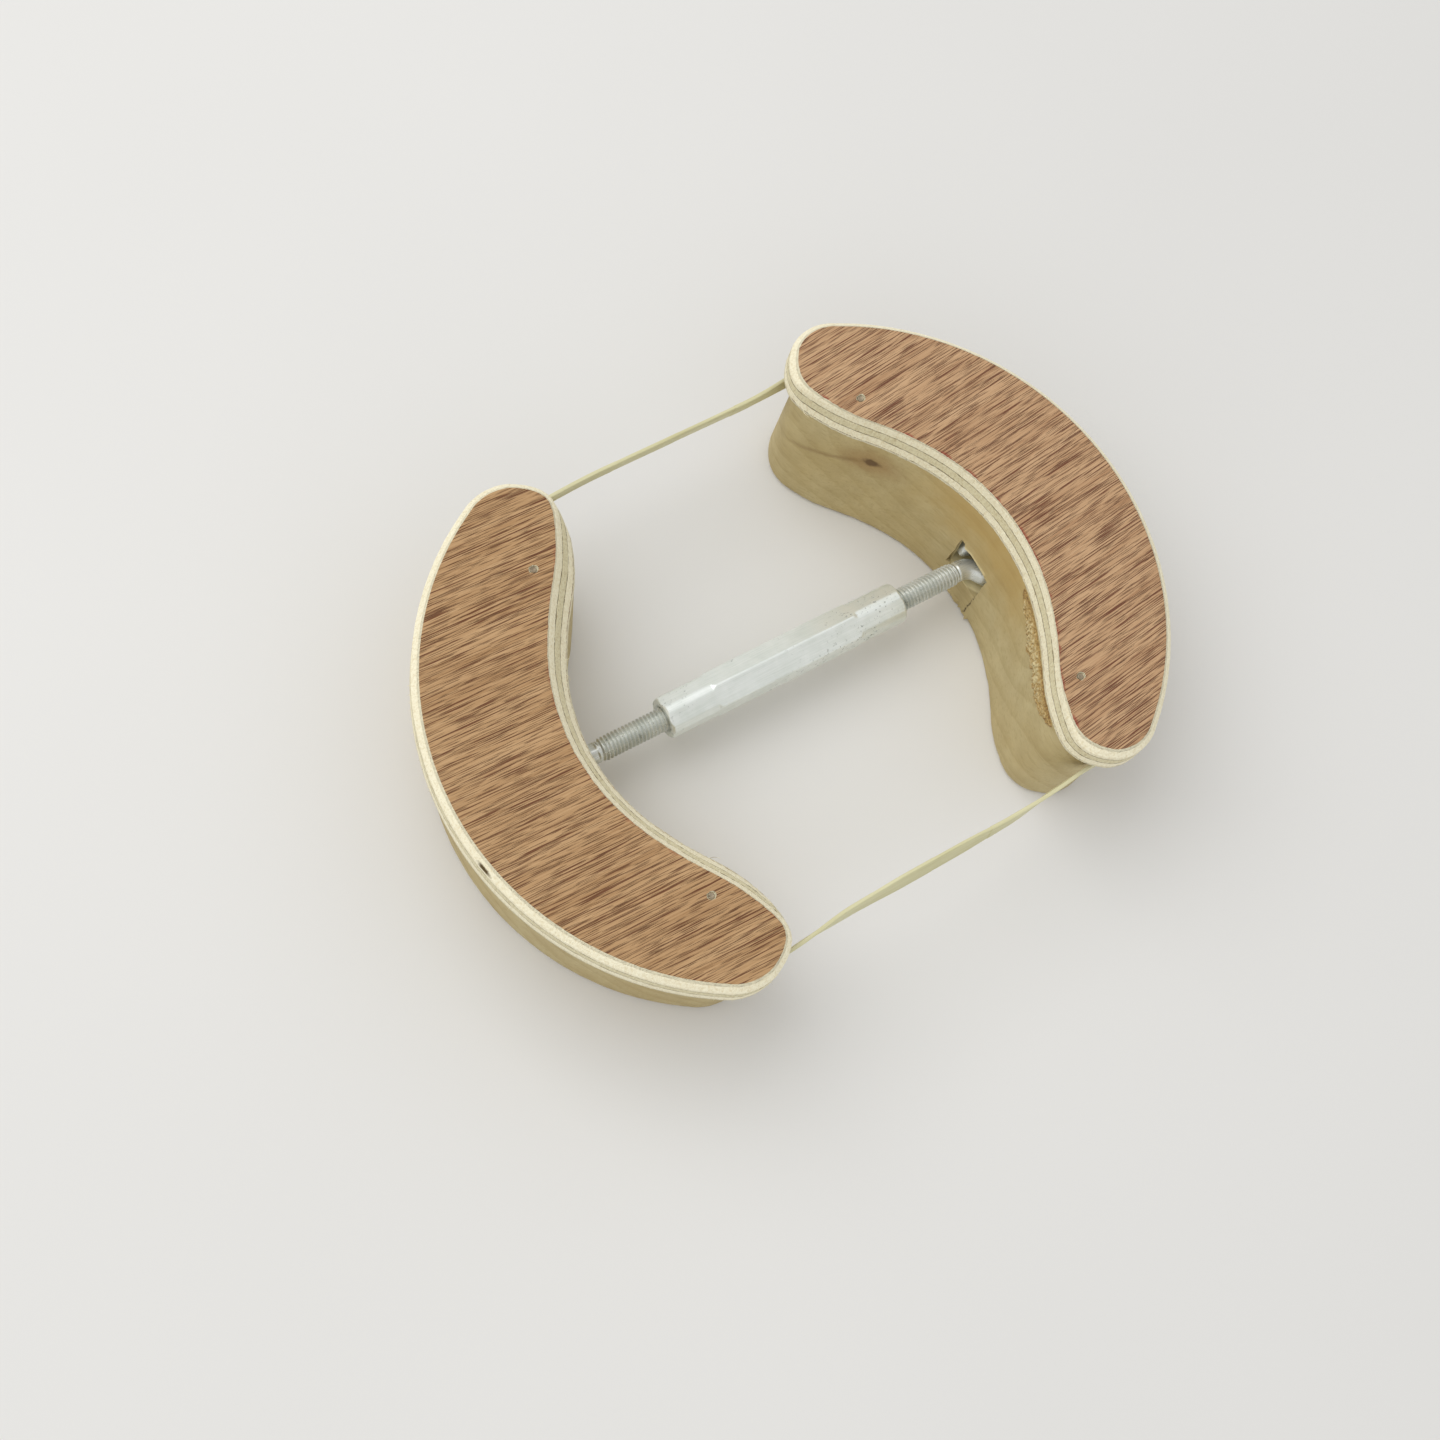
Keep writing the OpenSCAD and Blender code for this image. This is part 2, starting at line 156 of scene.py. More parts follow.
class Graph:
    """Short calls that wire the nodes of one material or node group."""

    def __init__(self, tree: bpy.types.NodeTree) -> None:
        """Keeps the tree that the calls add nodes to."""
        self.tree = tree

    def add(self, kind: str, inputs: Union[dict, None] = None, **settings: object) -> bpy.types.Node:
        """Adds a node.

        Args:
            kind: The node's type name.
            inputs: Values or sockets for the node's inputs, by name or index.
            **settings: Properties of the node itself.

        Returns:
            The new node.
        """
        node = self.tree.nodes.new(kind)
        for key, value in settings.items():
            setattr(node, key, value)
        for key, value in (inputs or {}).items():
            if isinstance(value, Socket):
                self.tree.links.new(value, node.inputs[key])
            else:
                node.inputs[key].default_value = value
        return node

    def maths(self, operation: str, *values: Value) -> Socket:
        """Adds a Math node and returns its value."""
        return self.add("ShaderNodeMath", dict(enumerate(values)), operation=operation).outputs[0]

    def times(self, first: Value, *others: Value) -> Value:
        """Multiplies values one after another.

        Args:
            first: The first value.
            *others: What it is multiplied by.

        Returns:
            The product.
        """
        for other in others:
            first = self.maths("MULTIPLY", first, other)
        return first

    def plus(self, value: Value, weight: float, base: Value) -> Socket:
        """Adds a weighted value to a base."""
        return self.maths("MULTIPLY_ADD", value, weight, base)

    def vector(self, operation: str, first: Value, second: Value) -> Socket:
        """Adds a Vector Math node and returns its vector."""
        return self.add("ShaderNodeVectorMath", {0: first, 1: second}, operation=operation).outputs[0]

    def scaled(self, vector: Value, scale: Value) -> Socket:
        """Multiplies a vector by a scale along each axis."""
        return self.vector("MULTIPLY", vector, scale)

    def length(self, vector: Value) -> Socket:
        """The length of a vector."""
        return self.add("ShaderNodeVectorMath", {0: vector}, operation="LENGTH").outputs["Value"]

    def parts(self, vector: Value) -> Sockets:
        """X, Y and Z of a vector."""
        return self.add("ShaderNodeSeparateXYZ", {0: vector}).outputs

    def joined(self, *parts: Value) -> Socket:
        """The vector of three values."""
        return self.add("ShaderNodeCombineXYZ", dict(enumerate(parts))).outputs[0]

    def mapped(self, vector: Value, turn: float, kind: str = "POINT", **inputs: Sequence[float]) -> Socket:
        """Moves, turns or scales coordinates.

        Args:
            vector: The coordinates.
            turn: Angle about Z in degrees.
            kind: The Mapping node's way of working.
            **inputs: Its location and scale, in lower case.

        Returns:
            The new coordinates.
        """
        given = {name.capitalize(): value for name, value in inputs.items()}
        given |= {"Vector": vector, "Rotation": (0.0, 0.0, math.radians(turn))}
        return self.add("ShaderNodeMapping", given, vector_type=kind).outputs[0]

    def attribute(self, name: str, output: str = "Fac") -> Socket:
        """A value that the mesh carries at its points."""
        return self.add("ShaderNodeAttribute", attribute_name=name).outputs[output]

    def mix(self, factor: Value, first: Value, second: Value) -> Socket:
        """Mixes two colours by how much of the second shows."""
        return self.add("ShaderNodeMix", {0: factor, 6: first, 7: second}, data_type="RGBA").outputs[2]

    def lay(self, colour: Value, over: Colour, *cover: Value) -> Socket:
        """Lays a display colour over what is there.

        Args:
            colour: The colour below.
            over: The display colour.
            *cover: Values whose product is how much of it shows.

        Returns:
            The mixed colour.
        """
        return self.mix(self.times(*cover), colour, linear(over))

    def ramp(self, factor: Value, *stops: tuple[float, Colour]) -> Socket:
        """Colours a value by a ramp.

        Args:
            factor: The value, from 0 to 1.
            *stops: Positions on the ramp, each with its display colour.

        Returns:
            The colour.
        """
        node = self.add("ShaderNodeValToRGB", {0: factor})
        elements = node.color_ramp.elements
        while len(elements) < len(stops):
            elements.new(0.5)
        for element, (position, colour) in zip(elements, stops):
            element.position = position
            element.color = linear(colour)
        return node.outputs[0]

    def spread(self, value: Value, *ends: float) -> Socket:
        """Maps a span of a value onto another span, with no overshoot.

        Args:
            value: The value.
            *ends: Start and end of the span that is read, then what these become, or else 0 and 1.

        Returns:
            The mapped value.
        """
        return self.add("ShaderNodeMapRange", dict(enumerate((value, *ends)))).outputs[0]

    def noise(self, vector: Value, scale: float, detail: float, roughness: float = 0.55) -> Socket:
        """Adds a noise texture and returns its value."""
        inputs = {"Vector": vector, "Scale": scale, "Detail": detail, "Roughness": roughness}
        return self.add("ShaderNodeTexNoise", inputs).outputs[0]

    def millimetres(self, swing: float = 0.0) -> Socket:
        """The piece's own coordinates in millimetres, turned back by its swing in degrees."""
        return self.mapped(self.add("ShaderNodeTexCoord").outputs["Object"], -swing, scale=(1 / MM,) * 3)

    def facing_up(self) -> Socket:
        """How far the surface faces straight up or down, from 0 to 1."""
        return self.maths("ABSOLUTE", self.parts(self.add("ShaderNodeTexCoord").outputs["Normal"])[2])

    def bump(self, height: Value, depth: float) -> Socket:
        """Turns a height from 0 to 1 into a normal, with a relief of some millimetres."""
        return self.add("ShaderNodeBump", {"Distance": depth * MM, "Height": height}).outputs[0]


class Effects:
    """Builds each shared shader effect once and places it in materials."""

    def __init__(self) -> None:
        """Builds all the groups."""
        self.groups = {Effect.FIBRE: self._fibre(), Effect.SAW: self._saw(),
                       Effect.GRIME: self._grime(), Effect.SCUFFS: self._scuffs()}

    @staticmethod
    def _start(effect: Effect, **numbers: float) -> tuple[Graph, Sockets, Socket]:
        """Starts a node group that takes a vector, named numbers and a seed.

        Args:
            effect: The effect that the group makes.
            **numbers: The named numbers, in lower case, with their defaults.

        Returns:
            The group's graph, what it is given, and the vector shifted by the seed.
        """
        tree = bpy.data.node_groups.new(effect.value, "ShaderNodeTree")
        tree.interface.new_socket("Vector", in_out="INPUT", socket_type="NodeSocketVector")
        for name, default in {**numbers, "seed": 0.0}.items():
            label = name.capitalize()
            number = tree.interface.new_socket(label, in_out="INPUT", socket_type="NodeSocketFloat")
            number.default_value = default
        graph = Graph(tree)
        given = graph.add("NodeGroupInput").outputs
        return graph, given, graph.vector("ADD", given["Vector"], given["Seed"])

    @staticmethod
    def _close(graph: Graph, values: dict[str, Socket]) -> bpy.types.NodeTree:
        """Gives a group its outputs.

        Args:
            graph: The group's graph.
            values: What comes out, by name.

        Returns:
            The group.
        """
        for name in values:
            graph.tree.interface.new_socket(name, in_out="OUTPUT", socket_type="NodeSocketFloat")
        graph.add("NodeGroupOutput", values)
        return graph.tree

    def _fibre(self) -> bpy.types.NodeTree:
        """Wood drawn out along X: fine fibres, open pores and a broad figure.

        Returns:
            The group.
        """
        graph, given, place = self._start(Effect.FIBRE, length=5.0, width=0.3)
        along, across = (graph.maths("DIVIDE", 1.0, given[name]) for name in ("Length", "Width"))
        drawn = graph.scaled(place, graph.joined(along, across, across))
        pores = graph.noise(graph.scaled(drawn, (1.3, 1.0, 1.0)), 0.8, 1.0)
        return self._close(graph, {
            "Fibre": graph.noise(drawn, 0.7, 4.0, 0.65),
            "Pores": graph.spread(pores, 0.575, 0.655),
            "Figure": graph.noise(graph.scaled(drawn, (0.25, 0.06, 0.06)), 1.0, 2.0),
        })

    def _saw(self) -> bpy.types.NodeTree:
        """Upright marks of a saw blade, and torn fibre between them.

        Returns:
            The group.
        """
        graph, given, place = self._start(Effect.SAW, spacing=0.6)
        rate = graph.maths("DIVIDE", 1.0, given["Spacing"])
        upright = graph.scaled(place, graph.joined(rate, rate, graph.times(rate, 0.12)))
        return self._close(graph, {
            "Marks": graph.noise(upright, 1.0, 3.0, 0.6),
            "Torn": graph.spread(graph.noise(place, 1.7, 4.0, 0.7), 0.40, 0.66),
        })

    def _grime(self) -> bpy.types.NodeTree:
        """Soft blotches of handling.

        Returns:
            The group.
        """
        graph, given, place = self._start(Effect.GRIME, size=20.0)
        blotch = graph.noise(graph.scaled(place, graph.maths("DIVIDE", 1.0, given["Size"])), 1.0, 4.0, 0.6)
        return self._close(graph, {"Blotch": graph.spread(blotch, 0.35, 0.68)})

    def _scuffs(self) -> bpy.types.NodeTree:
        """Fine marks along X, small pits and cloudy patches on metal.

        Returns:
            The group.
        """
        graph, _, place = self._start(Effect.SCUFFS)
        pitted = graph.spread(graph.noise(place, 1.1, 3.0, 0.6), 0.60, 0.68)
        return self._close(graph, {
            "Lines": graph.noise(graph.scaled(place, (0.10, 3.0, 3.0)), 1.0, 3.0, 0.6),
            "Pits": graph.times(pitted, graph.spread(graph.noise(place, 0.07, 1.0), 0.48, 0.62)),
            "Clouds": graph.noise(place, 0.16, 4.0, 0.6),
        })

    def place(self, graph: Graph, effect: Effect, vector: Value, **numbers: float) -> Sockets:
        """Places an effect in a material.

        Args:
            graph: The material's graph.
            effect: Which effect.
            vector: The coordinates it is drawn on.
            **numbers: The group's named numbers, in lower case.

        Returns:
            The group node's outputs.
        """
        given = {name.capitalize(): number for name, number in numbers.items()}
        node = graph.add("ShaderNodeGroup", {"Vector": vector, **given}, node_tree=self.groups[effect])
        return node.outputs


@dataclass(frozen=True, kw_only=True)
class Finish:
    """A named material; each kind of finish draws its own surface."""

    name: str
    specular: float = 0.5
    roughness: float = 0.5
    metallic: float = 0.0
    seed: float = 0.0

    def material(self, effects: Effects) -> Material:
        """Builds the material: even values are set on its shader, and what varies is linked.

        Args:
            effects: The shared effects.

        Returns:
            The material.
        """
        material = bpy.data.materials.new(self.name)
        material.use_nodes = True
        graph = Graph(material.node_tree)
        shader = material.node_tree.nodes["Principled BSDF"]
        shader.inputs["Specular IOR Level"].default_value = self.specular
        shader.inputs["Roughness"].default_value = self.roughness
        shader.inputs["Metallic"].default_value = self.metallic
        for name, socket in self.surface(graph, effects).items():
            graph.tree.links.new(socket, shader.inputs[name])
        return material

    def surface(self, graph: Graph, effects: Effects) -> dict[str, Socket]:
        """Draws what varies over the surface.

        Args:
            graph: The material's graph.
            effects: The shared effects.

        Returns:
            Sockets by the names of the shader's inputs.
        """
        raise NotImplementedError


@dataclass(frozen=True, kw_only=True)
class VeneerFinish(Finish):
    """Open-pored reddish veneer with its figure across the jaw, pale where its edge was cut."""

    light: Colour
    middle: Colour
    dark: Colour
    pore: Colour
    edge: Colour = (232, 224, 194)
    tear: Colour = (152, 64, 48)
    long_share: float = 0.95
    short_share: float = 0.65
    grime_share: float = 0.08
    tear_share: float = 0.0
    relief: float = 0.12
    specular: float = 0.30
    swing: float = 0.0

    def surface(self, graph: Graph, effects: Effects) -> dict[str, Socket]:
        """Draws long and short pores on the figure, and the torn rim.

        Args:
            graph: The material's graph.
            effects: The shared effects.

        Returns:
            Sockets by the names of the shader's inputs.
        """
        place = graph.millimetres(self.swing)
        fibre = effects.place(graph, Effect.FIBRE, place, length=14.0, width=0.25, seed=self.seed)
        short = effects.place(graph, Effect.FIBRE, place, length=8.0, width=0.17, seed=self.seed + 31.0)
        grime = effects.place(graph, Effect.GRIME, place, size=26.0, seed=self.seed)
        tone = graph.plus(fibre["Figure"], 0.35, graph.times(fibre["Fibre"], 0.65))
        colour = graph.ramp(tone, (0.36, self.dark), (0.50, self.middle), (0.66, self.light))
        colour = graph.lay(colour, self.pore, short["Pores"], self.short_share)
        colour = graph.lay(colour, self.pore, fibre["Pores"], self.long_share)
        colour = graph.lay(colour, self.dark, grime["Blotch"], self.grime_share)
        if self.tear_share:
            patch = graph.spread(graph.noise(place, 0.22, 3.0), 0.44, 0.62)
            torn = graph.spread(graph.plus(patch, 0.60, graph.attribute("rim")), 1.0, 1.35)
            colour = graph.lay(colour, self.tear, torn, self.tear_share)
        face = graph.spread(graph.facing_up(), 0.80, 0.90)
        pores = graph.maths("MAXIMUM", fibre["Pores"], short["Pores"])
        depth = graph.maths("SUBTRACT", fibre["Fibre"], pores)
        return {
            "Base Color": graph.mix(face, linear(self.edge), colour),
            "Roughness": graph.spread(fibre["Fibre"], 0.3, 0.7, 0.78, 0.60),
            "Normal": graph.bump(depth, self.relief),
        }


@dataclass(frozen=True, kw_only=True)
class PlyFinish(Finish):
    """A sawn edge of pale plywood, dark at its glue lines and at a bruise in the left cap's bevel."""

    pale: Colour
    shade: Colour
    shade_share: float = 0.16
    glue: Colour = (126, 112, 82)
    first_line: float = 35.75
    line_step: float = 2.6
    line_wave: float = 0.30
    bruised: Colour = (92, 76, 46)
    bruise: Triple = (-31.4, -18.9, 42.6)
    bruise_size: Triple = (0.55, 2.4, 0.65)
    bruise_turn: float = 9.0
    relief: float = 0.16
    specular: float = 0.25

    def surface(self, graph: Graph, effects: Effects) -> dict[str, Socket]:
        """Draws the saw's marks, the glue lines and the bruise.

        Args:
            graph: The material's graph.
            effects: The shared effects.

        Returns:
            Sockets by the names of the shader's inputs.
        """
        place = graph.millimetres()
        saw = effects.place(graph, Effect.SAW, place, spacing=0.45, seed=self.seed)
        grime = effects.place(graph, Effect.GRIME, place, size=16.0, seed=self.seed)
        tone = graph.plus(saw["Torn"], 0.35, graph.times(saw["Marks"], 0.7))
        colour = graph.ramp(tone, (0.22, self.shade), (0.55, self.pale))
        colour = graph.lay(colour, self.shade, grime["Blotch"], self.shade_share)
        height = graph.parts(place)[2]
        waved = graph.plus(graph.noise(place, 0.35, 2.0), self.line_wave, height)
        layer = graph.maths("DIVIDE", graph.maths("SUBTRACT", waved, self.first_line), self.line_step)
        line = graph.spread(graph.maths("PINGPONG", layer, 0.5), 0.075, 0.035)
        below_bevel = graph.spread(height, 42.9, 42.5)
        broken = graph.spread(graph.noise(place, 0.25, 2.0), 0.34, 0.55, 0.55, 0.95)
        colour = graph.lay(colour, self.glue, line, below_bevel, broken)
        spot = graph.mapped(place, self.bruise_turn, "TEXTURE", location=self.bruise, scale=self.bruise_size)
        near = graph.plus(graph.noise(place, 1.2, 2.0), 0.6, graph.length(spot))
        return {
            "Base Color": graph.lay(colour, self.bruised, graph.spread(near, 1.5, 0.85)),
            "Roughness": graph.spread(saw["Torn"], 0.0, 1.0, 0.92, 0.74),
            "Normal": graph.bump(tone, self.relief),
        }


@dataclass(frozen=True, kw_only=True)
class PineFinish(Finish):
    """Sawn pine with its grain along the jaw, and the marks of this block."""

    pale: Colour
    band: Colour
    amber: Colour
    # Painted light: a pale colour laid inside the eye's room to lighten the shade there.
    painted_room_light: Colour = (232, 218, 172)
    ring_share: float = 0.42
    amber_share: float = 0.38
    mottle_share: float = 0.30
    brush_share: float = 0.16
    pore_share: float = 0.24
    pith: tuple[float, float] = (62.0, 78.0)
    ring_gap: float = 5.2
    knot: Union[Triple, None] = None
    knot_edge: Colour = (150, 112, 62)
    knot_heart: Colour = (92, 66, 40)
    streak: Colour = (128, 98, 58)
    speck: Triple = (-30.8, -50.9, 25.0)
    speck_colour: Colour = (70, 54, 36)
    old_glue: Colour = (186, 152, 82)
    split: Colour = (66, 50, 30)
    relief: float = 0.10
    specular: float = 0.32
    swing: float = 0.0

    def surface(self, graph: Graph, effects: Effects) -> dict[str, Socket]:
        """Draws the year rings, the fibre, painted light in the eye's room and the marks.

        Args:
            graph: The material's graph.
            effects: The shared effects.

        Returns:
            Sockets by the names of the shader's inputs.
        """
        place = graph.millimetres(self.swing)
        turned = graph.mapped(place, -90)
        fibre = effects.place(graph, Effect.FIBRE, turned, length=14.0, width=0.5, seed=self.seed)
        saw = effects.place(graph, Effect.SAW, place, spacing=0.9, seed=self.seed)
        grime = effects.place(graph, Effect.GRIME, place, size=30.0, seed=self.seed + 7.0)
        mottle = effects.place(graph, Effect.GRIME, place, size=7.0, seed=self.seed + 19.0)
        from_pith = graph.vector("SUBTRACT", place, (self.pith[0], 0.0, self.pith[1]))
        radius = graph.length(graph.scaled(from_pith, (1.0, 0.10, 1.0)))
        bent = graph.plus(graph.noise(graph.scaled(place, (1.0, 0.3, 1.0)), 0.035, 2.0), 16.0, radius)
        ring = graph.maths("FRACT", graph.maths("DIVIDE", bent, self.ring_gap))
        late = graph.times(graph.spread(ring, 0.45, 0.92), graph.spread(ring, 1.0, 0.94))
        fine = graph.spread(fibre["Fibre"], 0.3, 0.7, 0.35, 0.9)
        colour = graph.lay(linear(self.pale), self.band, late, fine, self.ring_share)
        colour = graph.lay(colour, self.amber, grime["Blotch"], self.amber_share)
        colour = graph.lay(colour, self.band, mottle["Blotch"], self.mottle_share)
        colour = graph.lay(colour, self.band, graph.spread(fibre["Fibre"], 0.40, 0.66), self.brush_share)
        colour = graph.lay(colour, self.band, fibre["Pores"], self.pore_share)
        x, y, z = graph.parts(place)
        # Painted light: inside the eye's room the wood is laid paler, lightening the shade that falls there.
        in_room = graph.spread(graph.length(graph.joined(x, y, 0.0)), 10.4, 9.9)
        over_floor, under_roof = graph.spread(z, 8.6, 9.0), graph.spread(z, 20.4, 19.8)
        colour = graph.lay(colour, self.painted_room_light, in_room, over_floor, under_roof)
        if self.knot:
            colour = self._knot(graph, place, self._stain(graph, place, colour))
        height = graph.plus(saw["Marks"], 0.7, graph.times(fibre["Fibre"], 0.4))
        return {
            "Base Color": colour,
            "Roughness": graph.spread(fibre["Fibre"], 0.3, 0.7, 0.74, 0.58),
            "Normal": graph.bump(height, self.relief),
        }

    def _stain(self, graph: Graph, place: Value, colour: Value) -> Socket:
        """Lays the amber of old glue under the middle of the cap, and the split below the eye.

        Args:
            graph: The material's graph.
            place: Coordinates in millimetres.
            colour: The wood below.

        Returns:
            The colour with the stain and the split.
        """
        x, y, z = graph.parts(place)
        cloud = graph.maths("SUBTRACT", graph.noise(place, 0.10, 4.0, 0.65), 0.5)
        high = graph.spread(graph.plus(cloud, 22.0, z), 15.0, 30.0)
        beside = graph.spread(graph.maths("ABSOLUTE", graph.maths("ADD", y, 1.0)), 30.0, 12.0)
        sawn_side = graph.spread(x, 6.0, 0.0)
        colour = graph.lay(colour, self.old_glue, high, beside, sawn_side, 0.62)
        waver = graph.plus(graph.noise(place, 0.8, 2.0), 1.0, 5.7)
        line = graph.spread(graph.maths("ABSOLUTE", graph.maths("ADD", y, waver)), 0.34, 0.12)
        broken = graph.spread(graph.noise(place, 1.1, 1.0), 0.38, 0.52)
        return graph.lay(colour, self.split, line, graph.spread(z, 10.0, 9.0), broken, sawn_side, 0.85)

    def _knot(self, graph: Graph, place: Value, colour: Value) -> Socket:
        """Lays the knot, the stain that leads to it and one dark speck on the wood.

        Args:
            graph: The material's graph.
            place: Coordinates in millimetres.
            colour: The wood below.

        Returns:
            The colour with the marks.
        """
        offset = graph.vector("SUBTRACT", place, self.knot)
        wavy = graph.plus(graph.noise(place, 0.5, 2.0), 1.6, -0.8)
        distance = graph.maths("ADD", graph.length(graph.scaled(offset, (0.55, 0.62, 1.0))), wavy)
        colour = graph.lay(colour, self.knot_edge, graph.spread(distance, 6.5, 1.8, 0.0, 0.55))
        colour = graph.lay(colour, self.knot_heart, graph.spread(distance, 1.7, 0.9, 0.0, 0.85))
        x, y, z = graph.parts(offset)
        slope = graph.maths("ABSOLUTE", graph.plus(wavy, 0.8, graph.plus(y, 0.42, z)))
        ends = graph.spread(y, 0.5, 3.0), graph.spread(y, 24.0, 12.0, 0.0, 0.45), graph.spread(x, 12.0, 8.0)
        colour = graph.lay(colour, self.streak, graph.spread(slope, 1.3, 0.1), *ends)
        spot = graph.scaled(graph.vector("SUBTRACT", place, self.speck), (1.0, 0.7, 1.0))
        return graph.lay(colour, self.speck_colour, graph.spread(graph.length(spot), 0.9, 0.4, 0.0, 0.8))


@dataclass(frozen=True, kw_only=True)
class MetalFinish(Finish):
    """Bare or plated metal with drawn lines, pits and cloudy patches."""

    bright: Colour
    dull: Colour
    pit: Colour
    pit_share: float
    smooth: float
    rough: float
    relief: float = 0.03

    def surface(self, graph: Graph, effects: Effects) -> dict[str, Socket]:
        """Draws the scuffs.

        Args:
            graph: The material's graph.
            effects: The shared effects.

        Returns:
            Sockets by the names of the shader's inputs.
        """
        scuffs = effects.place(graph, Effect.SCUFFS, graph.millimetres(), seed=self.seed)
        tone = graph.plus(scuffs["Lines"], 0.45, graph.times(scuffs["Clouds"], 0.6))
        colour = graph.ramp(tone, (0.36, self.dull), (0.66, self.bright))
        return {
            "Base Color": graph.lay(colour, self.pit, scuffs["Pits"], self.pit_share),
            "Roughness": graph.spread(tone, 0.36, 0.66, self.rough, self.smooth),
            "Normal": graph.bump(graph.maths("SUBTRACT", scuffs["Lines"], scuffs["Pits"]), self.relief),
        }


@dataclass(frozen=True, kw_only=True)
class RubberFinish(Finish):
    """Pale natural rubber, a little powdery, drawn along the strip."""

    pale: Colour
    shade: Colour
    shade_share: float = 0.25
    relief: float = 0.04
    specular: float = 0.4

    def surface(self, graph: Graph, effects: Effects) -> dict[str, Socket]:
        """Draws the stretched rubber and its powder.

        Args:
            graph: The material's graph.
            effects: The shared effects.

        Returns:
            Sockets by the names of the shader's inputs.
        """
        strip = graph.attribute("strip", "Vector")
        fibre = effects.place(graph, Effect.FIBRE, strip, length=9.0, width=0.5, seed=self.seed)
        grime = effects.place(graph, Effect.GRIME, strip, size=9.0, seed=self.seed)
        tone = graph.plus(fibre["Figure"], 0.5, graph.times(fibre["Fibre"], 0.5))
        colour = graph.ramp(tone, (0.36, self.shade), (0.62, self.pale))
        return {
            "Base Color": graph.lay(colour, self.shade, grime["Blotch"], self.shade_share),
            "Roughness": graph.spread(grime["Blotch"], 0.0, 1.0, 0.48, 0.66),
            "Normal": graph.bump(fibre["Fibre"], self.relief),
        }


@dataclass(frozen=True, kw_only=True)
class GlueFinish(Finish):
    """Amber glue with sawdust in it."""

    amber: Colour
    # The pale colour is sawdust and painted light on the crumbs' tops; the dark colour is painted shade in
    # the gaps between them.
    sawdust_and_painted_light: Colour
    painted_gap_shade: Colour
    relief: float = 0.2

    def surface(self, graph: Graph, effects: Effects) -> dict[str, Socket]:
        """Draws the crumbs, with painted shade in the gaps between them and sawdust with painted light on
        their tops.

        Args:
            graph: The material's graph.
            effects: The shared effects.

        Returns:
            Sockets by the names of the shader's inputs.
        """
        torn = effects.place(graph, Effect.SAW, graph.millimetres(), spacing=0.7, seed=self.seed)["Torn"]
        raised = graph.plus(torn, 0.25, graph.attribute("rim"))
        return {
            # Painted shade and light: the colour follows crumb height, dark in the low gaps and pale on the
            # high tops.
            "Base Color": graph.ramp(raised, (0.10, self.painted_gap_shade), (0.28, self.amber), (0.66, self.sawdust_and_painted_light)),
            "Roughness": graph.spread(torn, 0.0, 1.0, 0.35, 0.8),
            "Normal": graph.bump(torn, self.relief),
        }


@dataclass(frozen=True, kw_only=True)
class FloorFinish(Finish):
    """A plain pale floor."""

    colour: Colour
    cloud: int = 3
    roughness: float = 0.9
    specular: float = 0.1

    def surface(self, graph: Graph, effects: Effects) -> dict[str, Socket]:
        """Draws faint clouds.

        Args:
            graph: The material's graph.
            effects: The shared effects.

        Returns:
            Sockets by the names of the shader's inputs.
        """
        darker = tuple(part - self.cloud for part in self.colour)
        cloud = graph.noise(graph.millimetres(), 0.004, 2.0)
        return {"Base Color": graph.ramp(cloud, (0.3, darker), (0.7, self.colour))}


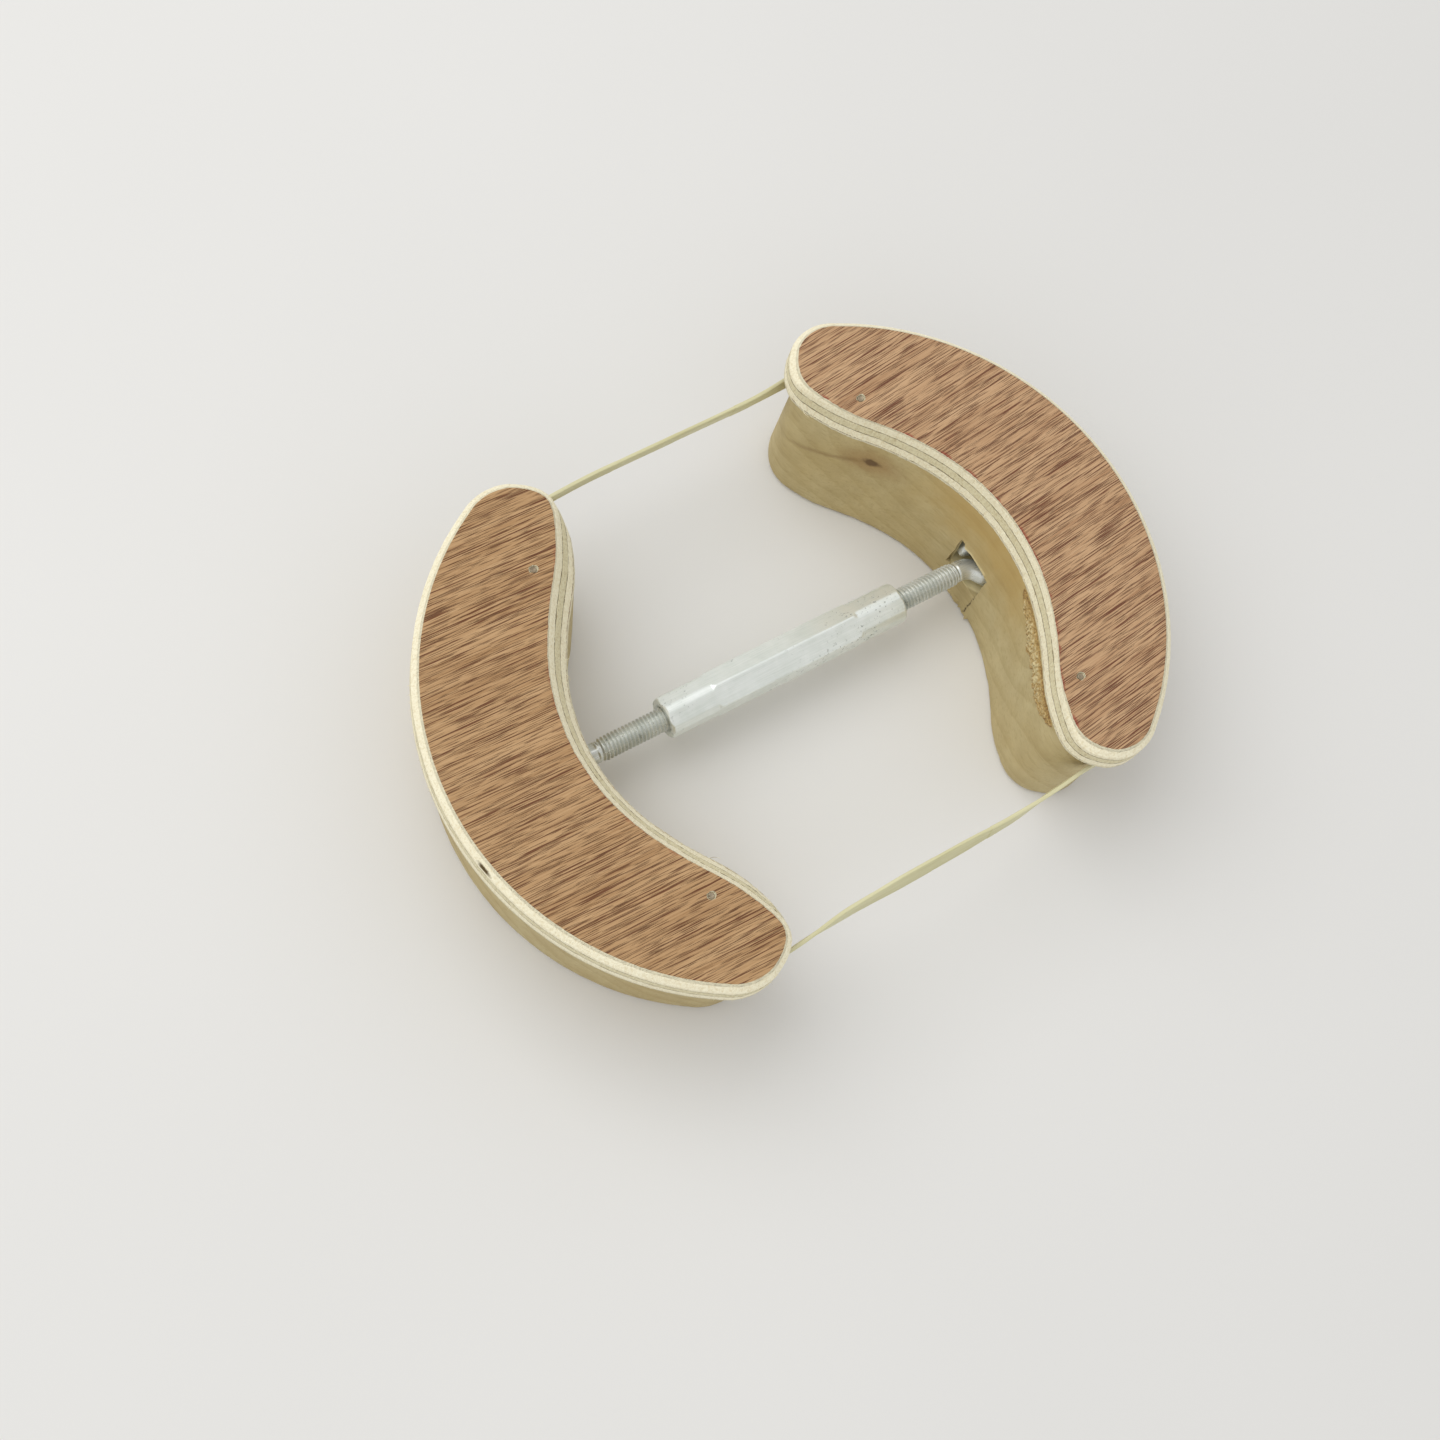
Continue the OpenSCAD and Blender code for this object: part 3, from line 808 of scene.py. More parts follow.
class Palette:
    """All the finishes of the object, each built once."""

    def __init__(self, effects: Effects) -> None:
        """Builds the materials.

        Args:
            effects: The shared effects.
        """
        self.face = {
            Side.LEFT: VeneerFinish(
                name="left_face_veneer", light=(202, 165, 121), middle=(188, 150, 107), dark=(166, 127, 86),
                pore=(104, 58, 33), tear_share=0.25, swing=SWING[Side.LEFT], seed=3.0).material(effects),
            Side.RIGHT: VeneerFinish(
                name="right_face_veneer", light=(209, 172, 132), middle=(195, 157, 118), dark=(172, 131, 95),
                pore=(108, 60, 40), tear_share=0.7, swing=SWING[Side.RIGHT], seed=47.0).material(effects),
        }
        self.back = VeneerFinish(
            name="back_veneer", light=(188, 150, 112), middle=(160, 122, 88), dark=(132, 96, 66),
            pore=(100, 68, 46), seed=90.0).material(effects)
        self.pale_ply = PlyFinish(
            name="pale_ply", pale=(254, 247, 219), shade=(232, 219, 183), seed=5.0).material(effects)
        self.core_ply = PlyFinish(
            name="core_ply", pale=(234, 226, 192), shade=(206, 192, 152), seed=19.0).material(effects)
        self.pine = {
            Side.LEFT: PineFinish(
                name="left_pine", pale=(202, 188, 144), band=(158, 134, 86), amber=(180, 155, 98),
                ring_gap=4.4, swing=SWING[Side.LEFT], seed=11.0).material(effects),
            Side.RIGHT: PineFinish(
                name="right_pine", pale=(202, 188, 144), band=(158, 136, 88), amber=(182, 154, 90),
                knot=(-18.43, 33.65, 27.75), swing=SWING[Side.RIGHT], seed=2.0).material(effects),
        }
        self.aluminium = MetalFinish(
            name="aluminium", bright=(246, 250, 246), dull=(226, 232, 226), pit=(120, 126, 122),
            pit_share=0.65, smooth=0.34, rough=0.50, metallic=0.6, seed=1.0).material(effects)
        self.zinc = MetalFinish(
            name="zinc_plated_steel", bright=(230, 232, 226), dull=(192, 197, 191), pit=(104, 108, 100),
            pit_share=0.6, smooth=0.26, rough=0.42, metallic=0.6, seed=13.0).material(effects)
        self.steel = MetalFinish(
            name="bright_steel", bright=(176, 176, 172), dull=(120, 118, 114), pit=(78, 70, 62),
            pit_share=0.8, smooth=0.28, rough=0.45, metallic=1.0, seed=29.0).material(effects)
        self.brad = MetalFinish(
            name="dull_brad", bright=(172, 158, 134), dull=(126, 110, 88), pit=(84, 68, 50), pit_share=0.8,
            smooth=0.42, rough=0.60, metallic=0.5, seed=37.0).material(effects)
        self.rubber = RubberFinish(
            name="natural_rubber", pale=(226, 222, 182), shade=(206, 200, 154), seed=4.0).material(effects)
        self.glue = GlueFinish(
            name="amber_glue", amber=(206, 170, 102), sawdust_and_painted_light=(242, 224, 172), painted_gap_shade=(140, 102, 50), seed=3.0
        ).material(effects)


class Draft:
    """Points and faces of one piece in millimetres, before it becomes an object."""

    def __init__(self) -> None:
        """Starts with nothing drawn."""
        self.points: list[Vector] = []
        self.faces: list[list[int]] = []
        self.rims: list[float] = []
        self.strips: list[Triple] = []

    def ring(self, points: Sequence[Vector], rims: Sequence[float] = (), strips: Sequence[Triple] = ()
             ) -> list[int]:
        """Adds the points of one ring.

        Args:
            points: The points in order.
            rims: How near each point is to a torn edge, or how high a crumb it is, from 0 to 1.
            strips: Place of each point along and across a strip.

        Returns:
            The points' numbers.
        """
        first = len(self.points)
        self.points += points
        self.rims += rims or [0.0] * len(points)
        self.strips += strips
        return list(range(first, len(self.points)))

    def bridge(self, lower: Sequence[int], upper: Sequence[int]) -> None:
        """Joins two rings with a band of faces.

        Args:
            lower: One ring's points.
            upper: As many points of the other.
        """
        for i in range(len(lower)):
            j = (i + 1) % len(lower)
            self.faces.append([lower[i], lower[j], upper[j], upper[i]])

    def loft(self, rings: Sequence[Sequence[int]]) -> None:
        """Joins rings one after another and closes both ends.

        Args:
            rings: The rings.
        """
        for lower, upper in zip(rings, rings[1:]):
            self.bridge(lower, upper)
        self.faces += [rings[0][::-1], rings[-1]]

    def build(self, name: str, material: Material, place: Matrix = Matrix.Identity(4), crease: float = 34.0
              ) -> Piece:
        """Makes the object.

        Args:
            name: The piece's name.
            material: Its finish.
            place: Where its own frame stands, in metres.
            crease: Angle in degrees above which an edge stays sharp.

        Returns:
            The object, linked to the scene.
        """
        mesh = bpy.data.meshes.new(name)
        turn = place.to_3x3()
        mesh.from_pydata([turn @ point * MM for point in self.points], [], self.faces)
        shape = bmesh.new()
        shape.from_mesh(mesh)
        bmesh.ops.recalc_face_normals(shape, faces=shape.faces)
        shape.to_mesh(mesh)
        shape.free()
        if any(self.rims):
            mesh.attributes.new("rim", "FLOAT", "POINT").data.foreach_set("value", self.rims)
        if self.strips:
            flat = [part for strip in self.strips for part in strip]
            mesh.attributes.new("strip", "FLOAT_VECTOR", "POINT").data.foreach_set("vector", flat)
        mesh.materials.append(material)
        piece = bpy.data.objects.new(name, mesh)
        piece.location = place.to_translation()
        bpy.context.scene.collection.objects.link(piece)
        shade(piece, crease)
        return piece


def shade(piece: Piece, crease: float) -> None:
    """Smooths a piece apart from edges sharper than a crease in degrees."""
    piece.data.polygons.foreach_set("use_smooth", [True] * len(piece.data.polygons))
    piece.data.set_sharp_from_angle(angle=math.radians(crease))


def cut(piece: Piece, cutter: Piece, crease: float) -> None:
    """Takes one shape out of another for good.

    Args:
        piece: What is cut.
        cutter: What is taken out; it is deleted.
        crease: Angle in degrees above which an edge of the result stays sharp.
    """
    modifier = piece.modifiers.new("cut", "BOOLEAN")
    modifier.operation = "DIFFERENCE"
    modifier.solver = "EXACT"
    modifier.object = cutter
    graph = bpy.context.evaluated_depsgraph_get()
    old = piece.data
    piece.data = bpy.data.meshes.new_from_object(piece.evaluated_get(graph))
    piece.data.name = piece.name
    piece.modifiers.clear()
    bpy.data.meshes.remove(old)
    bpy.data.objects.remove(cutter)
    while len(piece.data.materials) > 1:
        piece.data.materials.pop(index=len(piece.data.materials) - 1)
    piece.data.polygons.foreach_set("material_index", [0] * len(piece.data.polygons))
    shade(piece, crease)


def register(piece: Piece, body: str, slot: Slot, *nodes: str) -> None:
    """Rides a piece on a body and hides the nodes that it stands for.

    Args:
        piece: The piece.
        body: The body that it moves with.
        slot: Its material slot; not used.
        *nodes: Nodes that it replaces.
    """
    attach(piece, body)
    if nodes:
        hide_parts(*nodes)
    log.info("%s rides on %s", piece.name, body)


def joint_place(name: str) -> Vector:
    """Where a joint stands in the shared frame, in millimetres."""
    return next(Vector(joint["pos_m"]) / MM for joint in frame["joints"] if joint["name"] == name)


def ways(ring: Ring, at: int) -> tuple[Vector, Vector]:
    """The ways ahead and outward at one point of a ring.

    Args:
        ring: The ring, counter-clockwise.
        at: Number of the point.

    Returns:
        Both ways, of length 1.
    """
    ahead = (ring[(at + 1) % len(ring)] - ring[at - 1]).normalized()
    return ahead, Vector((ahead.y, -ahead.x, 0.0))


@dataclass(frozen=True)
class Unevenness:
    """How deep and how fast an edge changes, off and on the saw's path, as a saw or sander leaves it."""

    edge: float
    saw: float
    pitch: float
    flatness: float = 0.35
    fineness: float = 3.1

    def on(self, ring: Ring, sawn: Sequence[float], seed: float) -> Ring:
        """Shifts the points of a ring inward by uneven amounts.

        Args:
            ring: The ring, counter-clockwise.
            sawn: How much of the saw each point has felt.
            seed: Shift that makes each piece its own.

        Returns:
            The uneven ring.
        """
        result = []
        for i, point in enumerate(ring):
            depth = self.edge + (self.saw - self.edge) * sawn[i]
            x, y, z = (part / self.pitch for part in point)
            spot = Vector((x + seed, y, z * self.flatness))
            share = 0.5 + 0.5 * noise.noise(spot) + 0.5 * noise.noise(spot * self.fineness)
            result.append(point - ways(ring, i)[1] * depth * share)
        return result


@dataclass(frozen=True)
class Crescent:
    """Plan of one jaw layer in the jaw's frame, where the pin is the origin and X points outward."""

    outer_x: float
    hollow_x: float
    middle_y: float
    outer: float
    tip: float
    unsawn: float
    angle: float
    swell: float
    crossing: float = 0.05
    easing: int = 70
    counts: tuple[int, int, int, int] = (70, 56, 52, 50)

    def tip_place(self) -> Vector:
        """Finds the middle of the upper round tip, measured from the jaw's middle line.

        Returns:
            The middle.
        """
        turn = math.radians(self.angle)
        along = polar(1.0, turn + math.pi / 2)
        start = polar(self.unsawn + self.tip, turn, Vector((self.hollow_x, 0.0)))
        reach = start - Vector((self.outer_x, 0.0))
        ahead = reach.dot(along)
        span = self.outer - self.tip + self.crossing
        return start + along * (math.sqrt(ahead * ahead - reach.dot(reach) + span * span) - ahead)

    def loop(self, height: float, hollow: float, inset: float = 0.0, bevel: float = 0.0
             ) -> tuple[Ring, list[float]]:
        """The outline at one height.

        Args:
            height: The height.
            hollow: Radius of the sawn hollow at that height.
            inset: How far inside the outline the ring runs.
            bevel: How far the bevel has cut back the outer edge and the tips.

        Returns:
            The ring, counter-clockwise, and how much of the saw each point has felt.
        """
        turn = math.radians(self.angle)
        tip = self.tip_place()
        middle, saw_middle = Vector((self.outer_x, 0.0)), Vector((self.hollow_x, 0.0))
        outer, radius, saw = self.outer - inset - bevel, self.tip - inset - bevel, hollow + inset
        start = math.atan2(tip.y, tip.x - self.outer_x)
        toward = math.cos(turn) * (tip.x - self.hollow_x) + math.sin(turn) * tip.y
        stop = turn + math.acos(held((saw - toward) / radius, -1.0))
        corner, bend = polar(radius, stop, tip), polar(saw, turn, saw_middle)
        edge_n, tip_n, straight_n, round_n = self.counts
        half = [(polar(outer, start * i / edge_n, middle), 0.0) for i in range(edge_n)]
        for i in range(tip_n):
            point = polar(radius, start + (stop - start) * i / tip_n, tip)
            half.append((point, max(0.0, 2.0 * i / tip_n - 1.0)))
        for i in range(straight_n):
            share = i / straight_n
            swell = self.swell * math.sin(math.pi * min(1.0, share * 1.25)) ** 2
            half.append((corner.lerp(bend, share) - polar(swell, turn), 1.0))
        half += [(polar(saw, turn * (1 - i / round_n), saw_middle), 1.0) for i in range(round_n + 1)]
        half = self._rounded(half, edge_n + tip_n // 2)
        half += [(Vector((p.x, -p.y)), felt) for p, felt in reversed(half[1:-1])]
        ring = [Vector((point.x, point.y + self.middle_y, height)) for point, _ in half]
        return ring, [felt for _, felt in half]

    def _rounded(self, half: list[tuple[Vector, float]], first: int) -> list[tuple[Vector, float]]:
        """Rounds the corner between a tip and the saw's path, and the bend into the hollow.

        Args:
            half: Half of the outline, with how much of the saw each point has felt.
            first: Number of the first point that may move.

        Returns:
            The rounded half.
        """
        points = [point for point, _ in half]
        for _ in range(self.easing):
            points[first:-1] = [0.5 * points[i] + 0.25 * (points[i - 1] + points[i + 1])
                                for i in range(first, len(half) - 1)]
        return [(point, felt) for point, (_, felt) in zip(points, half)]


@dataclass
class Jaw:
    """One wooden jaw: a pine block under a plywood cap, with brads, torn fibres, pressed glue and its pin."""

    side: Side
    offset: float
    pin_depth: float
    cap_slope: float
    block_lean: float = 3.0
    outer_radius: float = 73.5
    hollow_radius: float = 53.5
    hollow_angle: float = 30.0
    jaw_depth: float = 32.0
    cap_tip_radius: float = 10.2
    block_tip_radius: float = 9.3
    cap_lip: float = 5.0
    edge_bevel: float = 1.8
    block_height: float = 35.0
    block_steps: int = 14
    cap_top: float = 44.0
    veneer: float = 0.6
    ply: float = 2.6
    overcut: float = 1.0
    foot_round: float = 1.6
    axis_height: float = 13.0
    eye_room_d: float = 19.2
    eye_room_base: float = 9.25
    mouth_width: float = 12.2
    mouth_rise: float = 6.0
    room_steps: int = 64
    mouth_steps: int = 18
    swell: float = 1.2
    brad_d: float = 1.6
    brad_length: float = 22.0
    brad_spread: float = 43.0
    brad_inset: float = 4.0
    brad_sunk: float = 0.2
    fibre_count: int = 230
    fibre_r: float = 0.045
    curl_r: float = 0.085
    strand_angles: Triple = (0.0, 2.094, 4.189)
    curls: Sequence[Triple] = ()
    glue: bool = False
    glue_span: tuple[int, int] = (31, 95)
    glue_drop: float = 6.6
    glue_rag: float = 2.4
    glue_lift: float = 1.2
    glue_rows: int = 24
    glue_depth: float = 0.35
    torn_foot: bool = False
    torn_span: tuple[float, float] = (-8.0, 3.0)
    block_edge: Unevenness = Unevenness(0.10, 0.22, 7.0)
    torn_edge: Unevenness = Unevenness(0.0, -1.3, 0.8)
    ply_edge: Unevenness = Unevenness(0.08, 0.16, 1.1)
    veneer_edge: Unevenness = Unevenness(0.08, 0.16, 0.8)

    @property
    def body(self) -> str:
        """The body that the jaw is."""
        return self.side.named("jaw")

    @property
    def place(self) -> Matrix:
        """The jaw's own frame, in metres."""
        pin = joint_place(self.side.named("jaw_swing")) * MM
        turn = Matrix.Rotation(math.radians(SWING[self.side]), 4, "Z")
        return Matrix.Translation((pin.x, pin.y, 0.0)) @ turn

    @property
    def edge_x(self) -> float:
        """Where the cap's top edge crosses the middle line."""
        return self.cap_slope - self.pin_depth

    @property
    def cap_hollow(self) -> float:
        """Radius of the hollow under the cap."""
        return self.hollow_radius - self.cap_slope

    def hollow_at(self, height: float) -> float:
        """Radius of the cap's hollow at a height."""
        share = (height - self.block_height) / (self.cap_top - self.block_height)
        return self.cap_hollow + self.cap_slope * share

    def cap_plan(self) -> Crescent:
        """Plan of the cap."""
        tip = self.cap_tip_radius + (self.edge_bevel + self.cap_slope + self.overcut) / 2
        return self._plan(self.outer_radius, tip, self.cap_hollow - self.overcut)

    def block_plan(self) -> Crescent:
        """Plan of the block."""
        tip = self.block_tip_radius + (self.cap_slope + self.block_lean + self.overcut) / 2
        unsawn = self.cap_hollow - self.block_lean - self.overcut
        return self._plan(self.outer_radius - self.cap_lip, tip, unsawn)

    def _plan(self, outer: float, tip: float, unsawn: float) -> Crescent:
        """A plan on the jaw's two middles.

        Args:
            outer: Radius of the outer edge.
            tip: Radius of the tips.
            unsawn: Radius of the hollow before the saw.

        Returns:
            The plan.
        """
        return Crescent(self.edge_x + self.jaw_depth - self.outer_radius, self.edge_x - self.hollow_radius,
                        self.offset, outer, tip, unsawn, self.hollow_angle, self.swell)

    def facing(self, ring: Sequence[Vector]) -> Ring:
        """Mirrors points for the left jaw."""
        return [Vector((point.x * self.side.value, point.y, point.z)) for point in ring]

    def build(self, palette: Palette) -> None:
        """Builds and dresses every piece of the jaw.

        Args:
            palette: The finishes.
        """
        self._block(palette)
        base = self.block_height
        layers = [
            ("back_veneer", self.veneer, palette.back, Slot.BACK),
            ("lower_ply", self.ply, palette.pale_ply, Slot.PALE_PLY),
            ("middle_ply", self.ply, palette.core_ply, Slot.CORE_PLY),
            ("upper_ply", self.ply, palette.pale_ply, Slot.PALE_PLY),
            ("face_veneer", self.veneer, palette.face[self.side], Slot.FACE),
        ]
        for number, (name, thickness, material, slot) in enumerate(layers):
            self._layer(name, base, thickness, material, slot, seed=number * 17.0 + self.side.value)
            base += thickness
        self._brads(palette)
        self._fibres(palette)
        if self.glue:
            self._glue(palette)
        pin = frame["nodes"][self.side.named("pivot_pin")]
        pin.data.materials.clear()
        pin.data.materials.append(palette.steel)

    def _block(self, palette: Palette) -> None:
        """The pine block with rounded lower edges and the room for the eye.

        Args:
            palette: The finishes.
        """
        plan = self.block_plan()
        turns = [math.radians(a) for a in (0, 22, 45, 67)]
        levels = [(self.foot_round * (1 - math.cos(a)), self.foot_round * (1 - math.sin(a))) for a in turns]
        rise = self.block_height - self.foot_round
        levels += [(self.foot_round + rise * i / self.block_steps, 0.0) for i in range(self.block_steps + 1)]
        draft = Draft()
        rings = []
        for height, inset in levels:
            hollow = self.cap_hollow - self.block_lean * (1 - height / self.block_height)
            ring, sawn = plan.loop(height, hollow, inset)
            ring = self.block_edge.on(ring, sawn, 5.0 * self.side.value)
            if self.torn_foot and height < self.foot_round:
                low, high = self.torn_span
                torn = [felt if low < point.y < high else 0.0 for point, felt in zip(ring, sawn)]
                ring = self.torn_edge.on(ring, torn, 3.0)
            rings.append(draft.ring(self.facing(ring)))
        draft.loft(rings)
        block = draft.build(self.side.named("pine_block"), palette.pine[self.side], self.place)
        cut(block, self._eye_room(palette), 40.0)
        register(block, self.body, Slot.PINE, self.side.named("block"))

    def _eye_room(self, palette: Palette) -> Piece:
        """The shape of the room that the eye turns in, with a chipped mouth.

        Args:
            palette: The finishes.

        Returns:
            The shape that is cut out.
        """
        mouth = self.pin_depth + self.block_lean + 3 * self.overcut
        radius, half = self.eye_room_d / 2, self.mouth_width / 2
        meet = math.asin(half / radius)
        sweep = TURN - 2 * meet
        outline = [polar(radius, -math.pi + meet + sweep * i / self.room_steps)
                   for i in range(self.room_steps + 1)]
        reach = -radius * math.cos(meet)
        shares = [i / self.mouth_steps for i in range(1, self.mouth_steps + 1)]
        outline += [Vector((reach - (mouth + reach) * share, half)) for share in shares]
        outline += [Vector((-mouth, half - 2 * half * share)) for share in shares]
        outline += [Vector((-mouth + (mouth + reach) * share, -half)) for share in shares[:-1]]
        base, top = self.eye_room_base, self.axis_height + self.mouth_rise
        draft = Draft()
        rings = []
        for height in (base, base + 3, self.axis_height + 2, top - 1.2, top):
            points = []
            for spot in outline:
                torn = held((-4.0 - spot.x) / 3)
                rag = noise.noise(Vector((spot.x * 0.9, spot.y * 0.9, height * 0.5 + 9 * self.side.value)))
                aside = 0.35 * torn * rag * (1 if spot.y > 0 else -1)
                lift = torn * (0.45 * rag + 0.9 + 0.2 * spot.y) if height == top else 0.0
                points.append(Vector((spot.x, spot.y + aside, height + lift)))
            rings.append(draft.ring(self.facing(points)))
        draft.loft(rings)
        return draft.build("eye_room", palette.pine[self.side], self.place)

    def _layer(self, name: str, base: float, thickness: float, material: Material, slot: Slot, seed: float
               ) -> None:
        """One layer of the cap.

        Args:
            name: The layer's name.
            base: Its lower height.
            thickness: Its thickness.
            material: Its finish.
            slot: Its material slot.
            seed: Shift of its unevenness.
        """
        plan = self.cap_plan()
        top = base + thickness
        is_face, is_thin = name == "face_veneer", thickness < 1
        groove, edge_drop = (0.05, 0.06) if is_thin else (0.14, 0.16)
        unevenness = self.veneer_edge if is_thin else self.ply_edge
        bevel_start = self.cap_top - self.edge_bevel
        inner = [] if is_thin else [base + thickness * share for share in (0.3, 0.5, 0.7)]
        inner += [bevel_start] if base < bevel_start < top else []
        levels = [(base, groove), (base + edge_drop, 0.0)]
        levels += [(height, 0.0) for height in sorted(inner)]
        levels += [(top - edge_drop, 0.0), (top, groove)]
        levels += [(top, inset) for inset in (0.4, 0.9, 1.8)] if is_face else []
        draft = Draft()
        rings = []
        for height, inset in levels:
            ring, sawn = plan.loop(height, self.hollow_at(height), inset, max(0.0, height - bevel_start))
            if inset < 0.3:
                ring = unevenness.on(ring, sawn, seed)
            rims = [max(0.0, 1 - inset / 1.8) * felt for felt in sawn] if is_face else []
            rings.append(draft.ring(self.facing(ring), rims))
        draft.loft(rings)
        layer = draft.build(self.side.named(f"cap_{name}"), material, self.place)
        if is_face:
            cut(layer, self._brad_drill(material), 34.0)
        register(layer, self.body, slot, self.side.named(name))

    def brad_places(self) -> Ring:
        """Finds the two brads on the top face.

        Returns:
            The middles of their ends.
        """
        turn = math.radians(self.hollow_angle)
        middle = Vector((self.edge_x - self.hollow_radius, 0.0))
        start = polar(self.hollow_radius + self.brad_inset, turn, middle)
        run = (self.brad_spread - start.y) / math.cos(turn)
        point = start + polar(run, turn + math.pi / 2)
        return [Vector((point.x, up * point.y + self.offset, self.cap_top)) for up in (1, -1)]

    def _brad_drill(self, material: Material) -> Piece:
        """Ragged holes round the two brads.

        Args:
            material: The finish of what they are cut from.

        Returns:
            The shape that is cut out.
        """
        draft = Draft()
        for number, place in enumerate(self.brad_places()):
            rings = []
            for height, flare in ((-1.2, 0.0), (-0.25, 0.04), (0.4, 0.5)):
                points = []
                for a in angles(28):
                    rag = noise.noise(Vector((*polar(2.0, a), number * 9 + self.side.value)))
                    r = self.brad_d / 2 + 0.03 + flare * (0.6 + rag)
                    points.append(place + Vector((r * math.cos(a) * 1.25, r * math.sin(a), height)))
                rings.append(draft.ring(self.facing(points)))
            draft.loft(rings)
        return draft.build("brad_drill", material, self.place)

    def _brads(self, palette: Palette) -> None:
        """The two brads, with dented ends and ground points.

        Args:
            palette: The finishes.
        """
        radius, foot = self.brad_d / 2, -self.brad_length
        profile = [(0.02, foot), (0.25, foot + 0.3), (radius, foot + 3.0), (radius, -0.25),
                   (radius * 0.92, -0.06), (radius * 0.7, 0.0), (radius * 0.3, -0.10)]
        draft = Draft()
        for place in self.brad_places():
            rings = []
            for r, height in profile:
                points = [place + Vector((*polar(r, a), height - self.brad_sunk)) for a in angles(20)]
                rings.append(draft.ring(self.facing(points)))
            draft.loft(rings)
        brads = draft.build(self.side.named("sunk_brads"), palette.brad, self.place)
        register(brads, self.body, Slot.STEEL, self.side.named("cap_brads"))

    def _fibres(self, palette: Palette) -> None:
        """Torn fibres along the lower edge of the cap and a few longer curls.

        Args:
            palette: The finishes.
        """
        draw = random.Random(41 + self.side.value)
        draft = Draft()
        plan = self.cap_plan()
        height = self.block_height + self.veneer + 0.25
        ring, sawn = plan.loop(height, self.hollow_at(height), 0.2)
        for _ in range(self.fibre_count):
            i = draw.randrange(len(ring))
            layer = draw.choice((0.0, 0.0, 0.0, self.ply, 2 * self.ply)) if sawn[i] > 0.5 else 0.0
            level = height + layer
            spots = plan.loop(level, self.hollow_at(level), 0.15)[0] if layer else ring
            length, curl = draw.uniform(0.3, 0.95), draw.uniform(-0.5, 0.5)
            self._strand(draft, spots, i, length, curl, self.fibre_r, draw)
        for where, length, curl in self.curls:
            self._strand(draft, ring, int(where * len(ring)) % len(ring), length, curl, self.curl_r, draw)
        fibres = draft.build(self.side.named("torn_fibres"), palette.pale_ply, self.place, 80.0)
        register(fibres, self.body, Slot.PALE_PLY)

    def _strand(self, draft: Draft, ring: Ring, at: int, length: float, curl: float, radius: float,
                draw: random.Random) -> None:
        """One torn fibre that starts inside the wood and curls outward.

        Args:
            draft: Where it is drawn.
            ring: The edge that it hangs on.
            at: Number of the point on that edge.
            length: Its length.
            curl: How it curls sideways.
            radius: Its thickness at the root.
            draw: Source of chance.
        """
        ahead, outward = ways(ring, at)
        rise = draw.uniform(-0.5, 0.35)
        heading = (outward + ahead * draw.uniform(-0.9, 0.9) + UP * rise).normalized()
        point = ring[at].copy()
        rings = []
        steps = 6
        for step in range(steps + 1):
            aside = heading.cross(UP).normalized()
            upward = aside.cross(heading)
            thick = radius * (1 - 0.8 * step / steps)
            points = [point + thick * (math.cos(a) * aside + math.sin(a) * upward)
                      for a in self.strand_angles]
            rings.append(draft.ring(self.facing(points)))
            point = point + heading * (length / steps)
            heading = (heading + ahead * curl * 0.5 + UP * (abs(curl) * 0.12)).normalized()
        draft.loft(rings)

    def _glue(self, palette: Palette) -> None:
        """Glue and sawdust pressed out under the cap on one side of the hollow.

        Args:
            palette: The finishes.
        """
        ring, _ = self.block_plan().loop(self.block_height, self.cap_hollow)
        first, last = (len(ring) // 2 + number for number in self.glue_span)
        steps = 2 * (last - first)
        lean = self.block_lean / self.block_height
        draft = Draft()
        rings = []
        for number in range(steps + 1):
            at = first + number // 2
            root = ring[at].lerp(ring[at + 1], 0.5 * (number % 2))
            outward = ways(ring, at)[1]
            fade = math.sin(math.pi * number / steps) ** 0.5
            ragged = noise.noise(Vector((root.y * 0.35, 3.0, 0.0)))
            ragged += 0.7 * noise.noise(Vector((root.y * 1.2, 8.0, 0.0)))
            reach = fade * (self.glue_drop + self.glue_rag * ragged)
            front, rear, crumbs = [], [], []
            for row in range(self.glue_rows + 1):
                down = 0.4 + reach * row / self.glue_rows
                spot = Vector((root.y * 1.1, down * 1.1, 7.0))
                sizes = ((1.0, 1.0), (0.6, 2.3), (0.3, 4.9))
                crumb = sum(share * abs(noise.noise(spot * rate)) for share, rate in sizes)
                hump = math.sin(math.pi * min(1.0, (row + 0.5) / (self.glue_rows + 1))) ** 0.6 * fade
                lift = down * lean + hump * (0.10 + self.glue_lift * crumb) - 0.12
                crumbs.append(min(1.0, hump * crumb))
                front.append(root + outward * lift - UP * down)
                rear.append(root + outward * (down * lean - self.glue_depth) - UP * down)
            backs = rear[::-4]
            rings.append(draft.ring(self.facing(front + backs), crumbs + [0.0] * len(backs)))
        draft.loft(rings)
        glue = draft.build(self.side.named("pressed_glue"), palette.glue, self.place, 60.0)
        register(glue, self.body, Slot.PINE)


